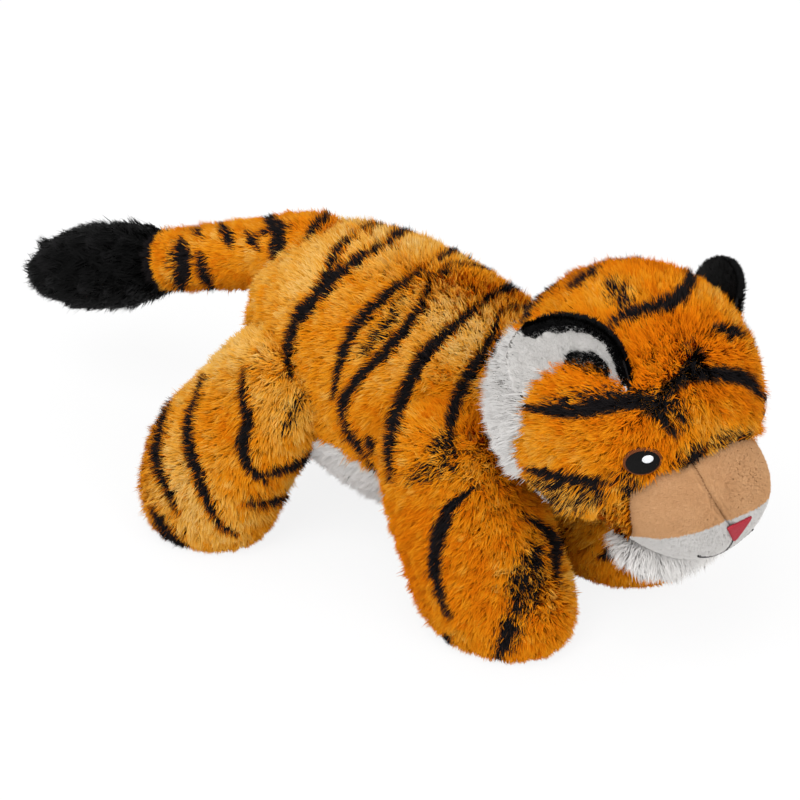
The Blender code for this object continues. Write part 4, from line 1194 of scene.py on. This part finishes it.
def patch(name, inside, place, outline, lift, depth, finish, centre=(0.0, 0.0), slant=0.0, rows=28,
          columns=72):
    """A cushion of stitches laid on a form: its outline is a radius for each bearing round it."""
    def surface(along, around):
        angle = 2 * math.pi * around
        share = np.sin(math.pi * along).clip(0) ** 0.45 * outline(angle)
        offset = np.stack([np.zeros_like(share), centre[0] + share * np.cos(angle),
                           centre[1] + share * np.sin(angle)], -1)
        forward = np.broadcast_to(place[:3, 0], offset.shape)
        laid = cast(inside, placed(place, offset), forward)
        return laid + (lift + depth * np.cos(math.pi * along))[..., None] * forward

    made = closed_skin(name, surface, rows, columns)
    flat = in_frame(place, points_of(made))[:, 1:] * 1000
    turned_flat = flat @ np.array(((math.cos(slant), -math.sin(slant)), (math.sin(slant), math.cos(slant))))
    corner = np.empty(len(made.data.loops), np.int32)
    made.data.loops.foreach_get("vertex_index", corner)
    layer = made.data.uv_layers.new(name="stitch")
    layer.data.foreach_set("uv", turned_flat[corner].astype(np.float32).ravel())
    made.data.materials.append(finish)
    return made


def oval(half_width, half_height):
    """The radius of an ellipse at each bearing."""
    return lambda angle: 1 / np.sqrt((np.cos(angle) / half_width) ** 2 + (np.sin(angle) / half_height) ** 2)


# %% Eyes
def in_head(points):
    """True inside the head's form."""
    return inside_egg(head_form, points)


for word, side in sides.items():
    place = eye_places[word]
    shine = (0.0022 * -side, 0.0022)
    for node, outline, lift, depth, finish, centre, slot_name in (
            ("eye_rim", oval(0.0089, 0.0073), -0.0022, 0.0016, "rim", (0, 0), "brown_thread"),
            ("eye_pupil", oval(0.0080, 0.0064), -0.0017, 0.0017, "pupil", (0, 0), "black_thread"),
            ("eye_highlight", oval(0.0027, 0.0020), -0.0005, 0.0011, "highlight", shine, "white_thread")):
        made = patch(f"{node}_{word}_stitches", in_head, place, outline, lift, depth, threads[finish],
                     centre, slant=0.5 * side)
        dress(made, "head", (f"{node}_{word}",), slot_name)

# %% Nose and mouth
nose_middle = muzzle_form.middle - 0.0035
nose_width, nose_height = 0.017, 0.013
stitch_start = 0.033


def triangle(angle):
    """The radius of a rounded triangle that points down, from the three lines that bound it."""
    drop = math.atan2(nose_height, nose_width / 2)
    normals = (math.pi / 2, -(math.pi / 2 - drop), math.pi + (math.pi / 2 - drop))
    reach = nose_width / 3 * math.sin(drop)
    limits = (nose_height / 3, reach, reach)
    terms = sum((np.clip(np.cos(angle - normal), 0.0, 1) / limit) ** 7
                for normal, limit in zip(normals, limits))
    return 1 / np.maximum(terms, 1e-9) ** (1 / 7)


def in_muzzle(points):
    """True inside the muzzle's form."""
    return inside_egg(muzzle_form, points)


nose_place = head_place @ shift(stitch_start, 0, nose_middle + nose_height / 6)
made = patch("nose_stitches", in_muzzle, nose_place, triangle, 0.0002, 0.0012, threads["nose"], slant=0.6)
dress(made, "head", ("nose_patch",), "rose_thread")


def twisted(name, path, radius, finish, strands=2, pitch=0.0022, rows=160, columns=12):
    """Thread laid along a path: the tube's radius pulses as its strands wind round each other."""
    path = follow(path, np.linspace(0, 1, rows))
    run = unit(np.gradient(path, axis=0))
    length = np.linalg.norm(np.diff(path, axis=0), axis=-1).sum()
    beside = unit(np.cross(run, head_place[:3, 0]))
    above = np.cross(beside, run)

    def surface(along, around):
        row = np.rint(along * (rows - 1)).astype(int)
        angle = 2 * math.pi * around
        twist = 0.22 * np.cos(strands * angle - 2 * math.pi * length / pitch * along)
        ends = np.sqrt(np.clip(1 - np.abs(2 * along - 1) ** 40, 0, 1))
        size = (radius * (1 + twist) * ends)[..., None]
        over = np.cos(angle)[..., None] * beside[row] + np.sin(angle)[..., None] * above[row]
        return path[row] + size * over

    made = closed_skin(name, surface, rows, columns)
    made.data.materials.append(finish)
    return made


mouth_thread = speckled("mouth_thread", (0.006, 0.006, 0.007), (0.045, 0.040, 0.042), 1500, roughness=0.55)
mouth_top, mouth_bottom = (nose_middle - nose_height / 2 + height for height in (0.001, -0.0100))
mouth_half_width, mouth_curl, thread_radius, thread_rise, sink = 0.018, 0.0065, 0.00055, 0.0003, 0.0010
drop_path = [(0.0, z) for z in (mouth_top, (mouth_top + mouth_bottom) / 2, mouth_bottom)]
curve_path = [(y, mouth_bottom + mouth_curl * (y / mouth_half_width) ** 2)
              for y in np.linspace(-mouth_half_width, mouth_half_width, 9)]
for name, offsets in (("mouth_drop_stitches", drop_path), ("mouth_curve_stitches", curve_path)):
    start = placed(head_place, np.array([(stitch_start, y, z) for y, z in offsets]))
    laid = cast(in_muzzle, start, np.broadcast_to(head_place[:3, 0], start.shape))
    sunk = sink * (1 - np.abs(np.array(offsets)[:, :1] / mouth_half_width) ** 6)
    made = twisted(name, laid + (thread_rise - sunk) * head_place[:3, 0], thread_radius, mouth_thread)
    dress(made, "head", ("mouth_stitch",), "black_thread")

# %% [markdown]
# ## Neck
#
# The head turns on a ball of stuffing. Body and head leave a narrow band of it open, which widens as the
# head moves, so the ball has a band of pile of its own.

# %% Neck skin and pile
neck_skin_radius = 0.0235


def neck_ball(along, around):
    """A ball about the point that the head turns on."""
    level, angle = math.pi * along, 2 * math.pi * around
    return joint_at["head_turn"] + neck_skin_radius * np.stack(
        [np.sin(level) * np.cos(angle), np.sin(level) * np.sin(angle), np.cos(level)], -1)


skin_piece("neck_skin", neck_ball, "orange", "neck", ("neck_stuffing",), "stuffing", 32, 32)
roots = neck_ball(*scatter(neck_ball, 3.0, 141))
roots = roots[~(inside_egg(body_form, roots, hidden_depth) | inside_egg(head_form, roots, -0.014))]
facing = (roots - joint_at["head_turn"]) / neck_skin_radius
grown = grow(roots, facing, body_comb, fur_length, 142)
tone = printed(grown, mirrored(grown.print, body_place), flank_stripes, flank_tips, 143, 0.32)
wear("neck_pile", grown, tone, "orange_fur", "neck")

# %% [markdown]
# ## Stage
#
# A pale floor, a white world and two soft lamps. The lamps are set so that a colour renders about as
# it is written.

# %% Floor, lamps and camera
floor_whiteness, sky_strength, floor_reach = 0.86, 0.82, 6.0


def rays(tree, *kinds):
    """1 where a ray is of one of the kinds, the largest of their wires."""
    path = add_node(tree, "ShaderNodeLightPath")
    seen, *others = (Wire(tree, path.outputs[f"Is {kind} Ray"]) for kind in kinds)
    for other in others:
        seen = seen.math("MAXIMUM", other)
    return seen


def plain_stage():
    """A wide floor that stays white and keeps the toy's soft shadow, under a white world."""
    corners = floor_reach * np.array(((-1, -1, 0), (1, -1, 0), (1, 1, 0), (-1, 1, 0)), float)
    floor = mesh_of("floor", corners, [np.array([[0, 1, 2, 3]])])
    ground = finish_of("pale_floor", lambda tree: (0.93, 0.93, 0.93), roughness=1.0)
    tree = ground.node_tree
    white = add_node(tree, "ShaderNodeEmission", Color=(1.0, 1.0, 1.0), Strength=1.0)
    mixed = add_node(tree, "ShaderNodeMixShader", Fac=rays(tree, "Camera", "Glossy") * floor_whiteness)
    tree.links.new(tree.nodes["Principled BSDF"].outputs[0], mixed.inputs[1])
    tree.links.new(white.outputs[0], mixed.inputs[2])
    tree.links.new(mixed.outputs[0], tree.nodes["Material Output"].inputs[0])
    floor.data.materials.append(ground)
    floor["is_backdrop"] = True
    world = bpy.data.worlds.new("studio")
    bpy.context.scene.world = world
    world.use_nodes = True
    tree = world.node_tree
    background = tree.nodes["Background"]
    background.inputs["Color"].default_value = (1, 1, 1, 1)
    seen = rays(tree, "Camera", "Glossy", "Transmission")
    put(tree, background.inputs["Strength"], seen * (1 - sky_strength) + sky_strength)


def facing_frame(place, target):
    """The matrix of something at a place whose back is turned away from a target."""
    back = np.array(place, float) - target
    back /= np.linalg.norm(back)
    side = np.cross((0, 0, 1), back)
    side /= np.linalg.norm(side)
    made = np.eye(4)
    made[:3] = np.stack([side, np.cross(back, side), back, place], -1)
    return Matrix(made.tolist())


def lamp(name, place, size, energy):
    """A square lamp that faces the toy."""
    data = bpy.data.lights.new(name, "AREA")
    data.size, data.energy = size, energy
    made = bpy.data.objects.new(name, data)
    made.matrix_world = facing_frame(place, aim)
    bpy.context.scene.collection.objects.link(made)


plain_stage()
lamp("key_lamp", (0.3, -1.6, 2.2), 1.6, 39)
lamp("fill_lamp", (2.4, -0.6, 1.3), 1.6, 22)
lens = bpy.data.cameras.new("camera")
lens.sensor_width = camera_sensor
lens.lens = pixels_per_unit_depth / picture_size * camera_sensor
lens.shift_x = (picture_size / 2 - aim_pixel[0]) / picture_size
lens.shift_y = (aim_pixel[1] - picture_size / 2) / picture_size
camera = bpy.data.objects.new("camera", lens)
camera.matrix_world = facing_frame(eye_point, aim)
bpy.context.scene.collection.objects.link(camera)
bpy.context.scene.camera = camera
bpy.context.scene.view_settings.view_transform = "Standard"

# %% Sizes, then the end
visual_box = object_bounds()
print("grown below by", np.round(np.array(cad_box[0]) - visual_box[0], 4),
      "and above by", np.round(np.array(visual_box[1]) - cad_box[1], 4))
